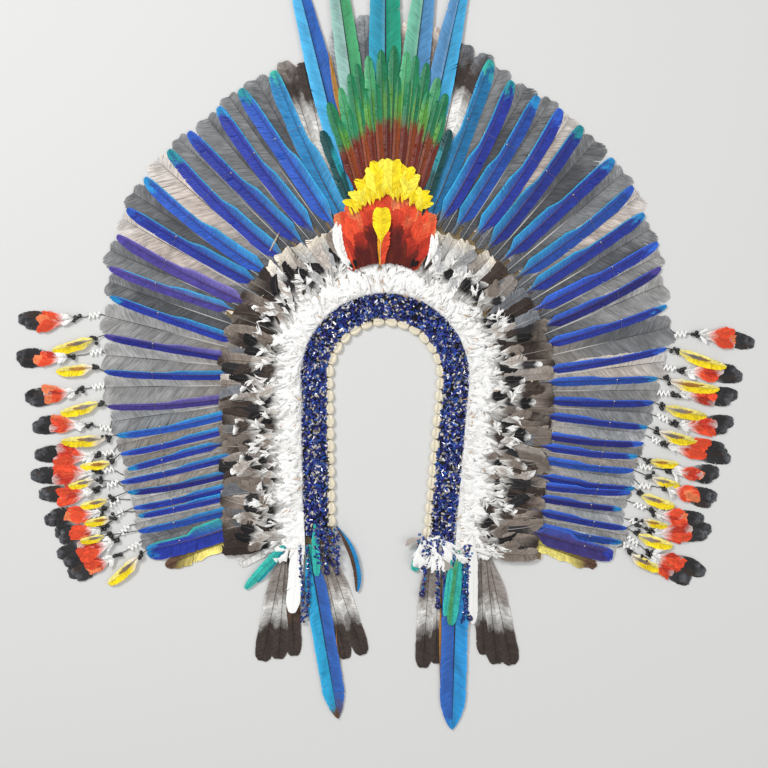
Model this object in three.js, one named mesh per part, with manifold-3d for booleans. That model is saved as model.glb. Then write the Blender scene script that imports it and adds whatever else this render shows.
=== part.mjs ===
// A ceremonial feathered headdress, lying on its back with its face up.
// A horseshoe band goes round the wearer's head. On the band, from the opening outwards, are a row of
// cowries, a field of seed beads, a ruff of white down and a row of coverts. Outside them stand two rows
// of flight feathers, grey below and blue above, and a crest over the crown. Pendants hang from the tips
// of the side feathers, and a lappet of feathers and bead strands hangs from each end of the band.
// Millimetres. +X to the right as seen from the front, +Y to the crest, +Z out of the face. Left and
// right in names are as seen from the front too.
// The origin is on the back of the band, at the crown, midway across the bead field.
import * as THREE from "three";
import Module from "manifold-3d";

const wasm = await Module();
wasm.setup();

// Driving sizes, in millimetres and degrees.
const CLEARANCE = 0.3; // between pieces that lie on or beside each other
const ARCH_RADIUS = 93; // of the middle line of the bead field
const ARM_LENGTH = 200; // of the decorated part of each arm below the arch
const ARM_TAIL = 34; // of the backing below that, where the lappets are tied
const LEFT_ARM_LEAN = 1; // how far each arm leans in towards the neck
const RIGHT_ARM_LEAN = 5;

const BACKING_THICKNESS = 2.5;
const BACKING_INNER = -23; // offsets from the middle line, outwards positive
const BACKING_OUTER = 132;
const BEAD_HALF_WIDTH = 15.5;
const BEAD_HEIGHT = 6.5;
const COWRIE_LENGTH = 15.3;
const COWRIE_WIDTH = 10.5;
const COWRIE_HEIGHT = 6;
const COWRIE_END = 0.4; // width and height at the ends, where two shells meet, as a share of the middle's
const RUFF_WIDTH = 50;
const RUFF_HEIGHT = 11;
const RUFF_LIP = 13; // how far the down lies over the roots of the coverts
const RUFF_TAIL = 18; // how far the down and the coverts go on below the bead field

const VANE_THICKNESS = 1.6; // of every flat feather, at its shaft
const CORD_WIDTH = 4; // of the cord that binds a row's quills
const CORD_HEIGHT = 1.2;
const COVERT_LENGTH = 66;
const COVERT_WIDTH = 25;
const COVERT_PITCH = 26;

const FAN_ROOT = 98; // offset of the quills' ends in the fan
const FAN_REACH = 238; // longest feather of the fan, from its quill's end
const FAN_ARC_PITCH = 23; // spacing of the feathers along the row of quills
const FAN_ARM_PITCH = 19.3;
const FAN_DROP = 0.011; // how much a fan feather comes down for each millimetre beyond the band
const LEVEL_SHARE = 0.2; // of each feather, next to its quill's end, that lies level on the band
const BLUE_WIDTH = 18;
const GREY_WIDTH = 27;
const GREY_ARM_WIDTH = 18.6; // of those beside the arms, which stand closer together
const FAN_START = 15; // degrees from the crown to the first blue feather

const TAIL_WIDTH = 40;
const TAIL_LENGTH = 512;
const CREST_BACK_LENGTH = 280;
const CREST_BACK_WIDTH = 32;
const CREST_BACK_SPREAD = 35; // half the width of the row, at its quills
const GREEN_LENGTH = 246;
const GREEN_WIDTH = 13;
const GREEN_SPREAD = 56; // half the width of each row, at its quills
const YELLOW_LENGTH = 94;
const YELLOW_WIDTH = 16;
const YELLOW_SPREAD = 46;
const RED_LENGTH = 84;
const RED_WIDTH = 18;
const RED_SPREAD = 40;
const CENTRE_LENGTH = 72;
const CENTRE_WIDTH = 22;
const CENTRE_ACROSS = -6; // how far it stands from the middle of the crest

const PENDANT_STRAND = 36; // from the fan feather's tip to the pendant feathers
const STRAND_WIDTH = 2;
const SEED_RADIUS = 3;
const SEED_HEIGHT = 3.4;
const BLACK_LENGTH = 78;
const BLACK_WIDTH = 25;
const FLAME_LENGTH = 46; // the red feather on a black one
const FLAME_WIDTH = 16;
const GOLD_LENGTH = 46; // the yellow pendant feather on a blue one's tip
const GOLD_WIDTH = 12;
const GOLD_STRAND = 12;

const LAPPET_BLUE_LENGTH = 232;
const LAPPET_BLUE_WIDTH = 28;
const LAPPET_TAIL_LENGTH = 138;
const LAPPET_TAIL_WIDTH = 25;
const LAPPET_WHITE_LENGTH = 98;
const LAPPET_WHITE_WIDTH = 15;
const LAPPET_GREEN_LENGTH = 70;
const LAPPET_GREEN_WIDTH = 13;
const LAPPET_STRAND_LENGTH = 100;
const LAPPET_INSET = 22; // from the end of the bead field to the quills of the lappet
const STRAND_INSET = 4; // from there to the knots of the bead strands
const LAPPET_DROP = 0.017; // how much its tail feathers come down, as FAN_DROP
const DROP_BEAD_RADIUS = 4;

// Heights of the layers that lie on each other, from the back of the band outwards.
const LAYER = VANE_THICKNESS + CLEARANCE;
const ON_BACKING = BACKING_THICKNESS + CLEARANCE;
const ON_GREY = ON_BACKING + LAYER;
const ON_BLUE = ON_GREY + LAYER;
const ON_COVERTS = ON_BLUE + LAYER;

// Outlines of feathers: half-widths as shares of the width, at shares of the length.
const FLIGHT_OUTLINE = [
  { at: 0, wide: 0.14 },
  { at: 0.24, wide: 0.78 },
  { at: 0.86, wide: 1 },
  { at: 1, wide: 0.3 },
];
const TAIL_OUTLINE = [
  { at: 0, wide: 0.14 },
  { at: 0.14, wide: 0.5 },
  { at: 0.4, wide: 1 },
  { at: 0.66, wide: 0.9 },
  { at: 0.86, wide: 0.52 },
  { at: 1, wide: 0.08 },
];
const SHORT_OUTLINE = [
  { at: 0, wide: 0.3 },
  { at: 0.6, wide: 1 },
  { at: 1, wide: 0.45 },
];
const SQUARE_OUTLINE = [
  { at: 0, wide: 0.5 },
  { at: 0.5, wide: 1 },
  { at: 1, wide: 0.8 },
];

// How the fan's feathers change from the crest to the end of the arm: their place along the row, their
// length as a share of FAN_REACH, and the degrees by which they lean from the crest.
const FAN_SHAPE = {
  left: [
    { at: 0, reach: 1, lean: 9 },
    { at: 0.14, reach: 0.92, lean: 11 },
    { at: 0.24, reach: 0.9, lean: 5 },
    { at: 0.33, reach: 0.85, lean: 2 },
    { at: 0.45, reach: 0.76, lean: -4 },
    { at: 0.54, reach: 0.72, lean: -2 },
    { at: 0.62, reach: 0.7, lean: 10 },
    { at: 0.7, reach: 0.66, lean: 14 },
    { at: 1, reach: 0.54, lean: 13 },
  ],
  right: [
    { at: 0, reach: 1.02, lean: 5 },
    { at: 0.1, reach: 0.95, lean: 6 },
    { at: 0.2, reach: 0.93, lean: 0 },
    { at: 0.36, reach: 0.85, lean: -2 },
    { at: 0.5, reach: 0.75, lean: -6 },
    { at: 0.58, reach: 0.67, lean: -3 },
    { at: 0.7, reach: 0.63, lean: 2 },
    { at: 1, reach: 0.56, lean: 5 },
  ],
};
// The long tail feathers of the crest: where the quill starts across the crown and how long the feather
// is, as shares of TAIL_WIDTH and TAIL_LENGTH, and the degrees by which it turns to the right.
const TAILS = [
  { across: -0.82, long: 0.83, wide: 0.84, turn: -14 },
  { across: -0.41, long: 0.9, wide: 0.81, turn: -8 },
  { across: 0.02, long: 1, wide: 1, turn: 0 },
  { across: 0.41, long: 0.88, wide: 0.9, turn: 6.5 },
  { across: 0.84, long: 0.8, wide: 0.78, turn: 11.8 },
];
// The feathers of each lappet. `out` is the distance outwards from the arm's middle line, as a share of
// BEAD_HALF_WIDTH, and `down` that from the end of the bead field, as a share of LAPPET_INSET, 1 if not
// given. `turn` is in degrees, outwards positive. The rest are shares of the feather's sizes.
const LAPPETS = {
  left: {
    blue: { out: 0.65, turn: -9.5, long: 0.97, wide: 0.96 },
    white: { out: 1.75, turn: 3, long: 1, wide: 1.1 },
    outer: [
      { out: 3.05, turn: 12, long: 0.96 },
      { out: 2.85, turn: 5, long: 1 },
      { out: 2.6, turn: -5, long: 0.97 },
    ],
    inner: [
      { out: -0.3, turn: -13, long: 1 },
      { out: -0.5, turn: -21, long: 0.95 },
    ],
    green: [
      { out: 3.55, turn: 46, long: 0.95 },
      { out: 3.4, turn: 38, long: 0.85 },
    ],
    strands: [
      { out: 0.8, turn: 3, long: 1.12 },
      { out: -0.5, turn: -4, long: 0.48 },
      { out: -1.1, turn: -9, long: 0.4 },
    ],
  },
  right: {
    blue: { out: 0.92, turn: -1.5, long: 1.01, wide: 1.15 },
    white: { out: 2.05, turn: 1, long: 0.95, wide: 0.8 },
    outer: [
      { out: 3.5, turn: 13, long: 0.96 },
      { out: 3.3, turn: 6, long: 1 },
      { out: 3.1, turn: -1, long: 0.98 },
    ],
    inner: [
      { out: -1, turn: -1, long: 0.99 },
      { out: -1.3, turn: -6, long: 0.96 },
    ],
    green: [
      { out: 0.75, down: 0.68, turn: -4, long: 1.3 },
      { out: 0.6, down: 0.68, turn: -11, long: 1.1 },
    ],
    strands: [
      { out: 0.8, turn: 9, long: 1.1 },
      { out: -0.5, turn: -1, long: 0.92 },
      { out: -1, turn: -13, long: 0.78 },
    ],
  },
};

const COLOURS = {
  backing: 0xb9a37e,
  shell: 0xe9dfc8,
  beads: 0x1b2670,
  down: 0xf2f0ea,
  covert: 0x6b625b,
  grey: 0x84878a,
  blue: 0x2450c8,
  tail: 0x2fa0c4,
  crestBack: 0x8c8178,
  green: 0x2f8a58,
  yellow: 0xf5dc2a,
  red: 0xcf4a2a,
  black: 0x26221f,
  white: 0xf4f2ee,
};
const SIDES = { left: -1, right: 1 };

const radians = THREE.MathUtils.degToRad;
const degrees = THREE.MathUtils.radToDeg;
const armLean = { left: LEFT_ARM_LEAN, right: RIGHT_ARM_LEAN };

// The value of a column of a table at a share along it, on straight lines between the rows.
function readTable(table, column, share) {
  const next = Math.max(1, table.findIndex((row) => row.at >= share));
  const [low, high] = [table[next - 1], table[next]];
  return THREE.MathUtils.mapLinear(share, low.at, high.at, low[column], high[column]);
}

// The degrees that the middle line turns through on one side, from the crown to the start of the arm.
const arcTurn = (side) => 90 + armLean[side];
const arcRun = (side) => radians(arcTurn(side)) * ARCH_RADIUS;

// A place `run` along the middle line from the crown and `offset` outwards from it, with the direction
// outwards as a heading: degrees from +Y, clockwise.
function archPlace(side, run, offset) {
  const turned = Math.min(run, arcRun(side)) / ARCH_RADIUS;
  const down = Math.max(0, run - arcRun(side));
  const sign = SIDES[side];
  const out = [sign * Math.sin(turned), Math.cos(turned)];
  const along = [sign * Math.cos(turned), -Math.sin(turned)];
  return {
    x: (ARCH_RADIUS + offset) * out[0] + down * along[0],
    y: (ARCH_RADIUS + offset) * out[1] - ARCH_RADIUS + down * along[1],
    heading: sign * degrees(turned),
  };
}

// The run on the middle line beside a distance along the parallel line at `offset`.
function runBeside(side, distance, offset) {
  const arc = radians(arcTurn(side)) * (ARCH_RADIUS + offset);
  const share = ARCH_RADIUS / (ARCH_RADIUS + offset);
  return distance < arc ? distance * share : arcRun(side) + distance - arc;
}

const unit = (heading) => [Math.sin(radians(heading)), Math.cos(radians(heading))];

// A solid from rings of points, each anticlockwise about the way the rings go.
function loft(rings) {
  const count = rings[0].length;
  const triangles = [];
  for (let ring = 0; ring + 1 < rings.length; ring++)
    for (let i = 0; i < count; i++) {
      const [a, b] = [ring * count + i, ring * count + ((i + 1) % count)];
      triangles.push(a, b, b + count, a, b + count, a + count);
    }
  const last = (rings.length - 1) * count;
  for (let i = 1; i + 1 < count; i++)
    triangles.push(0, i + 1, i, last, last + i, last + i + 1);
  const vertProperties = new Float32Array(rings.flat(2));
  const triVerts = new Uint32Array(triangles);
  return new wasm.Manifold(new wasm.Mesh({ numProp: 3, vertProperties, triVerts }));
}

const joined = (solids) => solids.reduce((sum, solid) => sum.add(solid));

// Runs between two runs on one side, in even steps round the arch and then down the arm.
function runsBetween(side, from, to, arcSteps, armSteps) {
  const runs = [];
  for (let i = 0; i <= arcSteps; i++) runs.push(from + ((arcRun(side) - from) * i) / arcSteps);
  for (let i = 1; i <= armSteps; i++) runs.push(arcRun(side) + ((to - arcRun(side)) * i) / armSteps);
  return runs;
}

// The ring of a section of [offset, height] points across the arch.
const sectionRing = (side, run, section) =>
  section.map(([offset, height]) => {
    const place = archPlace(side, run, offset);
    return [place.x, place.y, height];
  });

// A solid that follows the whole arch, from the rings of each half, given from the crown down.
const archLoft = (half) => loft([...half("left").reverse(), ...half("right").slice(1)]);

// A band that follows the whole arch. `profile(side, run)` gives its section.
const archBand = (profile, endRun, arcSteps, armSteps) =>
  archLoft((side) =>
    runsBetween(side, 0, endRun(side), arcSteps, armSteps).map((run) =>
      sectionRing(side, run, profile(side, run)),
    ),
  );

const decoratedRun = (side) => arcRun(side) + ARM_LENGTH;
const downRun = (side) => decoratedRun(side) + RUFF_TAIL;

// A ring across a feather: its shaft line on top, then its right and its left edge.
function vaneRing(x, y, heading, width, low, thickness) {
  const [dx, dy] = unit(heading + 90);
  const half = width / 2;
  return [
    [x, y, low + thickness],
    [x + dx * half, y + dy * half, low],
    [x - dx * half, y - dy * half, low],
  ];
}

// The rings of a straight feather with a flat underside.
function featherRings({ x, y, heading, length, width, low, drop = 0, outline = FLIGHT_OUTLINE }) {
  const [dx, dy] = unit(heading);
  return outline.map(({ at, wide }) => {
    const reach = at * length;
    const thickness = VANE_THICKNESS * Math.min(1, 0.45 + wide * 0.55);
    const height = low - drop * Math.max(0, at - LEVEL_SHARE) * length;
    return vaneRing(x + dx * reach, y + dy * reach, heading, width * wide, height, thickness);
  });
}

const feather = (form) => loft(featherRings(form));

// The cord that the ends of a row's quills are bound into, between two runs along the arch.
function bindingCord(side, from, to, offset, low, high) {
  const section = [
    [offset - CORD_WIDTH / 2, low],
    [offset + CORD_WIDTH / 2, low],
    [offset + CORD_WIDTH / 2, high],
    [offset - CORD_WIDTH / 2, high],
  ];
  const rings = runsBetween(side, from, to, 9, 1).map((run) => sectionRing(side, run, section));
  return loft(side === "left" ? rings.reverse() : rings);
}

// Distances along the row of quills of the blue feathers on one side, from the crest to the arm's end.
function fanStations(side) {
  const arc = radians(arcTurn(side)) * (ARCH_RADIUS + FAN_ROOT);
  const stations = [];
  let distance = radians(FAN_START) * (ARCH_RADIUS + FAN_ROOT);
  while (distance < arc + ARM_LENGTH - FAN_ARM_PITCH) {
    stations.push(distance);
    distance += distance < arc ? FAN_ARC_PITCH : FAN_ARM_PITCH;
  }
  return stations;
}

// A small up and down that makes neighbours differ, the same at each build.
const unevenness = (index) => Math.sin(index * 2.4);

// Where one fan feather starts, where it points and how long it is.
function fanFeather(side, distance, share, index) {
  const place = archPlace(side, runBeside(side, distance, FAN_ROOT), FAN_ROOT);
  const shape = FAN_SHAPE[side];
  const lean = readTable(shape, "lean", Math.min(1, share));
  return {
    distance,
    x: place.x,
    y: place.y,
    heading: place.heading + SIDES[side] * (lean + 0.7 * unevenness(index)),
    length: FAN_REACH * (readTable(shape, "reach", Math.min(1, share)) + 0.012 * unevenness(index + 0.5)),
  };
}

const greyWidth = (share) => (share < 0.5 ? GREY_WIDTH : GREY_ARM_WIDTH);

// The grey feathers lie between the blue ones, and a last one lies below them all.
function greyFeathers(side) {
  const stations = fanStations(side);
  const count = stations.length;
  return stations.map((distance, i) => {
    const next = i + 1 < count ? stations[i + 1] : distance + FAN_ARM_PITCH;
    const share = (i + 0.5) / count;
    return { ...fanFeather(side, (distance + next) / 2, share, i + 7), share };
  });
}

function blueFeathers(side) {
  const stations = fanStations(side);
  return stations.map((distance, i) => {
    const share = i / stations.length;
    return { ...fanFeather(side, distance, share, i), share };
  });
}

// The runs along the arch between which a row's quills are bound, with a little cord left over.
const fanCordEnds = (side, row) => [
  runBeside(side, row[0].distance, FAN_ROOT) - CORD_WIDTH,
  runBeside(side, row.at(-1).distance, FAN_ROOT) + CORD_WIDTH,
];

function fanGrey(side) {
  const row = greyFeathers(side);
  const vanes = row.map((f) =>
    feather({ ...f, width: greyWidth(f.share), low: ON_BACKING, drop: FAN_DROP }),
  );
  const [from, to] = fanCordEnds(side, row);
  const cord = bindingCord(side, from, to, FAN_ROOT, ON_BACKING, ON_BACKING + CORD_HEIGHT);
  return joined([cord, ...vanes]);
}

// Pendants hang from the tips of the feathers beyond this share of the row.
const PENDANT_FROM = 0.47;
const hasPendant = (f) => f.share >= PENDANT_FROM;

// The way a pendant lies: level at the top of the side, and lower with each one below.
function pendantHeading(side, share, index) {
  const down = (share - PENDANT_FROM) / (1 - PENDANT_FROM);
  return SIDES[side] * (92 + 14 * down + 4 * unevenness(index * 1.7));
}

const tipOf = (f) => {
  const [dx, dy] = unit(f.heading);
  return [f.x + dx * f.length, f.y + dy * f.length];
};

// Heights of the three layers in which the pendants lie over each other beside the fan.
const PENDANT_LOW = CLEARANCE;
const PENDANT_LAYER = SEED_HEIGHT + CLEARANCE;
const GOLD_LOW = PENDANT_LOW + 2 * PENDANT_LAYER;

// A blue feather of the fan, and the strand and yellow feather that hang from its tip.
function blueWithPendant(side, f, index) {
  const rings = featherRings({ ...f, width: BLUE_WIDTH, low: ON_GREY, drop: FAN_DROP });
  if (hasPendant(f)) {
    const heading = pendantHeading(side, f.share, index);
    const [tipX, tipY] = tipOf(f);
    const [dx, dy] = unit(heading);
    const start = ON_GREY - FAN_DROP * (1 - LEVEL_SHARE) * f.length;
    const at = (reach) => [tipX + dx * reach, tipY + dy * reach];
    const ring = (reach, width, low, thickness) =>
      rings.push(vaneRing(...at(reach), heading, width, low, thickness));
    ring(STRAND_WIDTH, STRAND_WIDTH, start, VANE_THICKNESS);
    ring(GOLD_STRAND, STRAND_WIDTH, GOLD_LOW, VANE_THICKNESS);
    for (const { at: share, wide } of SHORT_OUTLINE.slice(1))
      ring(GOLD_STRAND + share * GOLD_LENGTH, GOLD_WIDTH * wide, GOLD_LOW, VANE_THICKNESS);
  }
  return loft(rings);
}

function fanBlue(side) {
  const row = blueFeathers(side);
  const vanes = row.map((f, i) => blueWithPendant(side, f, i));
  const [from, to] = fanCordEnds(side, row);
  const cord = bindingCord(side, from, to, FAN_ROOT, ON_GREY, ON_GREY + CORD_HEIGHT);
  return joined([cord, ...vanes]);
}

// A pendant on a grey feather's tip: a strand, a tie, a black seed, and a red feather on a black one.
function tassel(side, f, index) {
  const heading = pendantHeading(side, f.share, index);
  const [dx, dy] = unit(heading);
  const [tipX, tipY] = tipOf(f);
  const low = PENDANT_LOW + (index % 2) * PENDANT_LAYER;
  const start = ON_BACKING - FAN_DROP * (1 - LEVEL_SHARE) * f.length;
  const gap = 2 * CLEARANCE;
  const at = (reach) => [tipX + dx * reach, tipY + dy * reach];
  const thickness = VANE_THICKNESS * 0.6;
  const ring = (share, width, height = thickness) =>
    vaneRing(...at(share * PENDANT_STRAND), heading, width, low, height);
  const rings = [
    vaneRing(...at(gap), heading, STRAND_WIDTH, start, thickness),
    ring(0.25, 2 * STRAND_WIDTH, 1.6 * thickness),
    ring(0.6, 2 * STRAND_WIDTH, 1.6 * thickness),
    ring(0.68, STRAND_WIDTH),
    ring(0.8, 2 * SEED_RADIUS, SEED_HEIGHT),
    ring(0.92, STRAND_WIDTH),
  ];
  for (const { at: share, wide } of SHORT_OUTLINE) {
    const reach = PENDANT_STRAND + share * BLACK_LENGTH;
    rings.push(vaneRing(...at(reach), heading, BLACK_WIDTH * wide, low, thickness));
  }
  const [flameX, flameY] = at(PENDANT_STRAND);
  const flame = feather({
    x: flameX, y: flameY, heading: heading + 3 * unevenness(index), length: FLAME_LENGTH,
    width: FLAME_WIDTH, low: low + thickness * 0.5, outline: SHORT_OUTLINE,
  });
  return joined([loft(rings), flame]);
}

// A closed three.js geometry as a solid, moved to a place. Its corners are merged by rounding.
function fromGeometry(geometry, x, y, z) {
  const corners = geometry.getAttribute("position");
  const index = new Map();
  const points = [];
  const triVerts = new Uint32Array(corners.count);
  for (let i = 0; i < corners.count; i++) {
    const point = [corners.getX(i) + x, corners.getY(i) + y, corners.getZ(i) + z];
    const key = point.map((value) => value.toFixed(3)).join();
    if (!index.has(key)) {
      index.set(key, points.length / 3);
      points.push(...point);
    }
    triVerts[i] = index.get(key);
  }
  return new wasm.Manifold(
    new wasm.Mesh({ numProp: 3, vertProperties: new Float32Array(points), triVerts }),
  );
}

// The woven backing that carries everything.
function backing() {
  const profile = () => [
    [BACKING_INNER, 0],
    [BACKING_OUTER, 0],
    [BACKING_OUTER, BACKING_THICKNESS],
    [BACKING_INNER, BACKING_THICKNESS],
  ];
  return archBand(profile, (side) => decoratedRun(side) + ARM_TAIL, 16, 2);
}

// The bead field, a domed strip of beads on its own cloth.
function beadField() {
  const top = ON_BACKING + BEAD_HEIGHT;
  const profile = () => [
    [-BEAD_HALF_WIDTH, ON_BACKING],
    [BEAD_HALF_WIDTH, ON_BACKING],
    [BEAD_HALF_WIDTH * 0.9, ON_BACKING + BEAD_HEIGHT * 0.65],
    [BEAD_HALF_WIDTH * 0.45, top],
    [-BEAD_HALF_WIDTH * 0.45, top],
    [-BEAD_HALF_WIDTH * 0.9, ON_BACKING + BEAD_HEIGHT * 0.65],
  ];
  return archBand(profile, decoratedRun, 14, 2);
}

// The cowries, end to end with their flat sides down.
function cowrieEdging() {
  const line = -BEAD_HALF_WIDTH - CLEARANCE - COWRIE_WIDTH / 2;
  const section = (size) => {
    const half = (COWRIE_WIDTH / 2) * size;
    const top = ON_BACKING + COWRIE_HEIGHT * size;
    return [
      [line - half, ON_BACKING],
      [line + half, ON_BACKING],
      [line + half * 0.45, top],
      [line - half * 0.45, top],
    ];
  };
  return archLoft((side) => {
    const onArch = Math.round((radians(arcTurn(side)) * (ARCH_RADIUS + line)) / COWRIE_LENGTH);
    const onArm = Math.round(ARM_LENGTH / COWRIE_LENGTH);
    const runs = runsBetween(side, 0, decoratedRun(side), 2 * onArch, 2 * onArm);
    return runs.map((run, i) => sectionRing(side, run, section(i % 2 ? 1 : COWRIE_END)));
  });
}

// The down is narrower at the crown, where the crest starts, and its edge is tufted.
function downRuff() {
  const inner = BEAD_HALF_WIDTH + CLEARANCE;
  const profile = (side, run) => {
    const width = RUFF_WIDTH * (run < ARCH_RADIUS * 0.55 ? 0.74 : 1);
    const tuft = 0.05 * RUFF_WIDTH * unevenness(run);
    const lip = run < ARCH_RADIUS * 0.55 ? 0.2 * RUFF_LIP : RUFF_LIP;
    const shelf = ON_COVERTS;
    const top = shelf + RUFF_HEIGHT * 0.45;
    return [
      [inner, ON_BACKING],
      [inner + width - lip - LAYER, ON_BACKING],
      [inner + width - lip, shelf],
      [inner + width + tuft, shelf],
      [inner + width * 0.85 + tuft, top - 0.09 * RUFF_HEIGHT],
      [inner + width * 0.5, ON_BACKING + RUFF_HEIGHT * (1 + 0.04 * unevenness(run * 1.3))],
      [inner + width * 0.1, ON_BACKING + RUFF_HEIGHT * 0.8],
    ];
  };
  return archBand(profile, downRun, 16, 8);
}

const covertRoot = () => BEAD_HALF_WIDTH + RUFF_WIDTH - RUFF_LIP + 4 * CLEARANCE + CORD_WIDTH / 2;
const COVERT_START = 24; // degrees from the crown to the first covert

function covertRow(side) {
  const root = covertRoot();
  const middle = radians(arcTurn(side)) * (ARCH_RADIUS + root + COVERT_LENGTH / 2);
  const first = (radians(COVERT_START) * middle) / radians(arcTurn(side));
  const vanes = [];
  const end = middle + ARM_LENGTH + RUFF_TAIL - COVERT_PITCH / 2;
  for (let distance = first; distance < end; distance += COVERT_PITCH) {
    const run = distance < middle ? (distance / middle) * arcRun(side) : arcRun(side) + distance - middle;
    const place = archPlace(side, run, root);
    vanes.push(
      feather({
        ...place, heading: place.heading + 2 * unevenness(distance), width: COVERT_WIDTH,
        length: COVERT_LENGTH, low: ON_BLUE, outline: SQUARE_OUTLINE,
      }),
    );
  }
  const from = (first / middle) * arcRun(side);
  const cord = bindingCord(side, from - CORD_WIDTH, downRun(side) - CORD_WIDTH, root,
    ON_BACKING, ON_BLUE + CORD_HEIGHT);
  return joined([cord, ...vanes]);
}

// A feather of the crest, from a point across the crown and an offset up from the middle line.
const crestFeather = (across, offset, form) => feather({ x: across, y: offset, ...form });

// A straight bar across the crest that binds the quills of a row.
function crestBar(halfWidth, offset, low, high) {
  const bar = new THREE.BoxGeometry(2 * halfWidth, CORD_WIDTH, high - low);
  return fromGeometry(bar.toNonIndexed(), 0, offset, (low + high) / 2);
}

const CREST_ROOT = FAN_ROOT - 10;

function crestBack() {
  const count = 7;
  const vanes = [];
  for (let i = 0; i < count; i++) {
    const side = (2 * i) / (count - 1) - 1;
    vanes.push(
      crestFeather(CREST_BACK_SPREAD * side, FAN_ROOT, {
        heading: 17 * side, length: CREST_BACK_LENGTH * (1 - 0.1 * side * side), width: CREST_BACK_WIDTH,
        low: ON_BACKING, drop: FAN_DROP,
      }),
    );
  }
  const bar = crestBar(CREST_BACK_SPREAD + CORD_WIDTH, FAN_ROOT, ON_BACKING, ON_BACKING + CORD_HEIGHT);
  return joined([bar, ...vanes]);
}

const crestTail = ({ across, long, wide, turn }) =>
  crestFeather(across * TAIL_WIDTH, CREST_ROOT, {
    heading: turn, length: TAIL_LENGTH * long, width: TAIL_WIDTH * wide, low: ON_GREY,
    drop: FAN_DROP * 0.5, outline: TAIL_OUTLINE,
  });

// A row of the crest whose tips stand in a dome. `spread` is half its width at the quills.
function crestRow({ count, spread, root, barLow, low, length, width, fall, turn, outline }) {
  const vanes = [];
  for (let i = 0; i < count; i++) {
    const side = (2 * i) / (count - 1) - 1;
    vanes.push(
      crestFeather(spread * side, root, {
        heading: turn * side, length: length * (1 - fall * side * side), width, low, outline,
      }),
    );
  }
  const bar = crestBar(spread + width * 0.2, root, barLow, low + VANE_THICKNESS / 2);
  return joined([bar, ...vanes]);
}

const RED_LOW = ON_COVERTS + LAYER;
const redRoot = () => BEAD_HALF_WIDTH + RUFF_WIDTH * 0.78 + 3 * CLEARANCE;

const crestGreen = () =>
  crestRow({
    count: 14, spread: GREEN_SPREAD, root: CREST_ROOT + CORD_WIDTH, barLow: ON_BLUE, low: ON_BLUE,
    length: GREEN_LENGTH, width: GREEN_WIDTH, fall: 0.44, turn: 10, outline: FLIGHT_OUTLINE,
  });

const crestYellow = () =>
  crestRow({
    count: 9, spread: YELLOW_SPREAD, root: CREST_ROOT + 2 * CORD_WIDTH, barLow: ON_COVERTS, low: ON_COVERTS,
    length: YELLOW_LENGTH, width: YELLOW_WIDTH, fall: 0.55, turn: 12, outline: SHORT_OUTLINE,
  });

const crestRed = () =>
  crestRow({
    count: 8, spread: RED_SPREAD, root: redRoot(), barLow: ON_BACKING, low: RED_LOW,
    length: RED_LENGTH, width: RED_WIDTH, fall: 0.25, turn: 13, outline: SHORT_OUTLINE,
  });

const crestCentre = () =>
  crestFeather(CENTRE_ACROSS, redRoot() + CLEARANCE, {
    heading: 0, length: CENTRE_LENGTH, width: CENTRE_WIDTH, low: RED_LOW + LAYER, outline: SHORT_OUTLINE,
  });

// A feather of a lappet, with the binding that ties its quill down to the backing. Headings are measured
// from the way down the arm.
function lappetFeather(side, { out, down = 1, turn, long, wide = 1 }, form) {
  const { x, y } = archPlace(side, decoratedRun(side) + down * LAPPET_INSET, out * BEAD_HALF_WIDTH);
  const height = form.low + CORD_HEIGHT - ON_BACKING;
  const tie = new THREE.BoxGeometry(CORD_WIDTH, CORD_WIDTH, height).toNonIndexed();
  const vane = feather({
    ...form, x, y, heading: 180 - SIDES[side] * turn, length: form.length * long, width: form.width * wide,
  });
  return vane.add(fromGeometry(tie, x, y, ON_BACKING + height / 2));
}

// Tail feathers of a lappet, fused where they lie over each other.
function lappetTails(side, rows) {
  const vanes = rows.map((row) =>
    lappetFeather(side, row, {
      length: LAPPET_TAIL_LENGTH, width: LAPPET_TAIL_WIDTH, low: ON_BACKING, drop: LAPPET_DROP,
    }),
  );
  return joined(vanes);
}

const lappetBlue = (side) =>
  lappetFeather(side, LAPPETS[side].blue, {
    length: LAPPET_BLUE_LENGTH, width: LAPPET_BLUE_WIDTH, low: ON_GREY, drop: FAN_DROP,
    outline: TAIL_OUTLINE,
  });

const lappetWhite = (side) =>
  lappetFeather(side, LAPPETS[side].white, {
    length: LAPPET_WHITE_LENGTH, width: LAPPET_WHITE_WIDTH, low: ON_GREY, drop: FAN_DROP,
  });

const lappetGreen = (side) =>
  joined(
    LAPPETS[side].green.map((row) =>
      lappetFeather(side, row, {
        length: LAPPET_GREEN_LENGTH, width: LAPPET_GREEN_WIDTH, low: ON_BLUE, drop: FAN_DROP,
        outline: SHORT_OUTLINE,
      }),
    ),
  );

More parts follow.
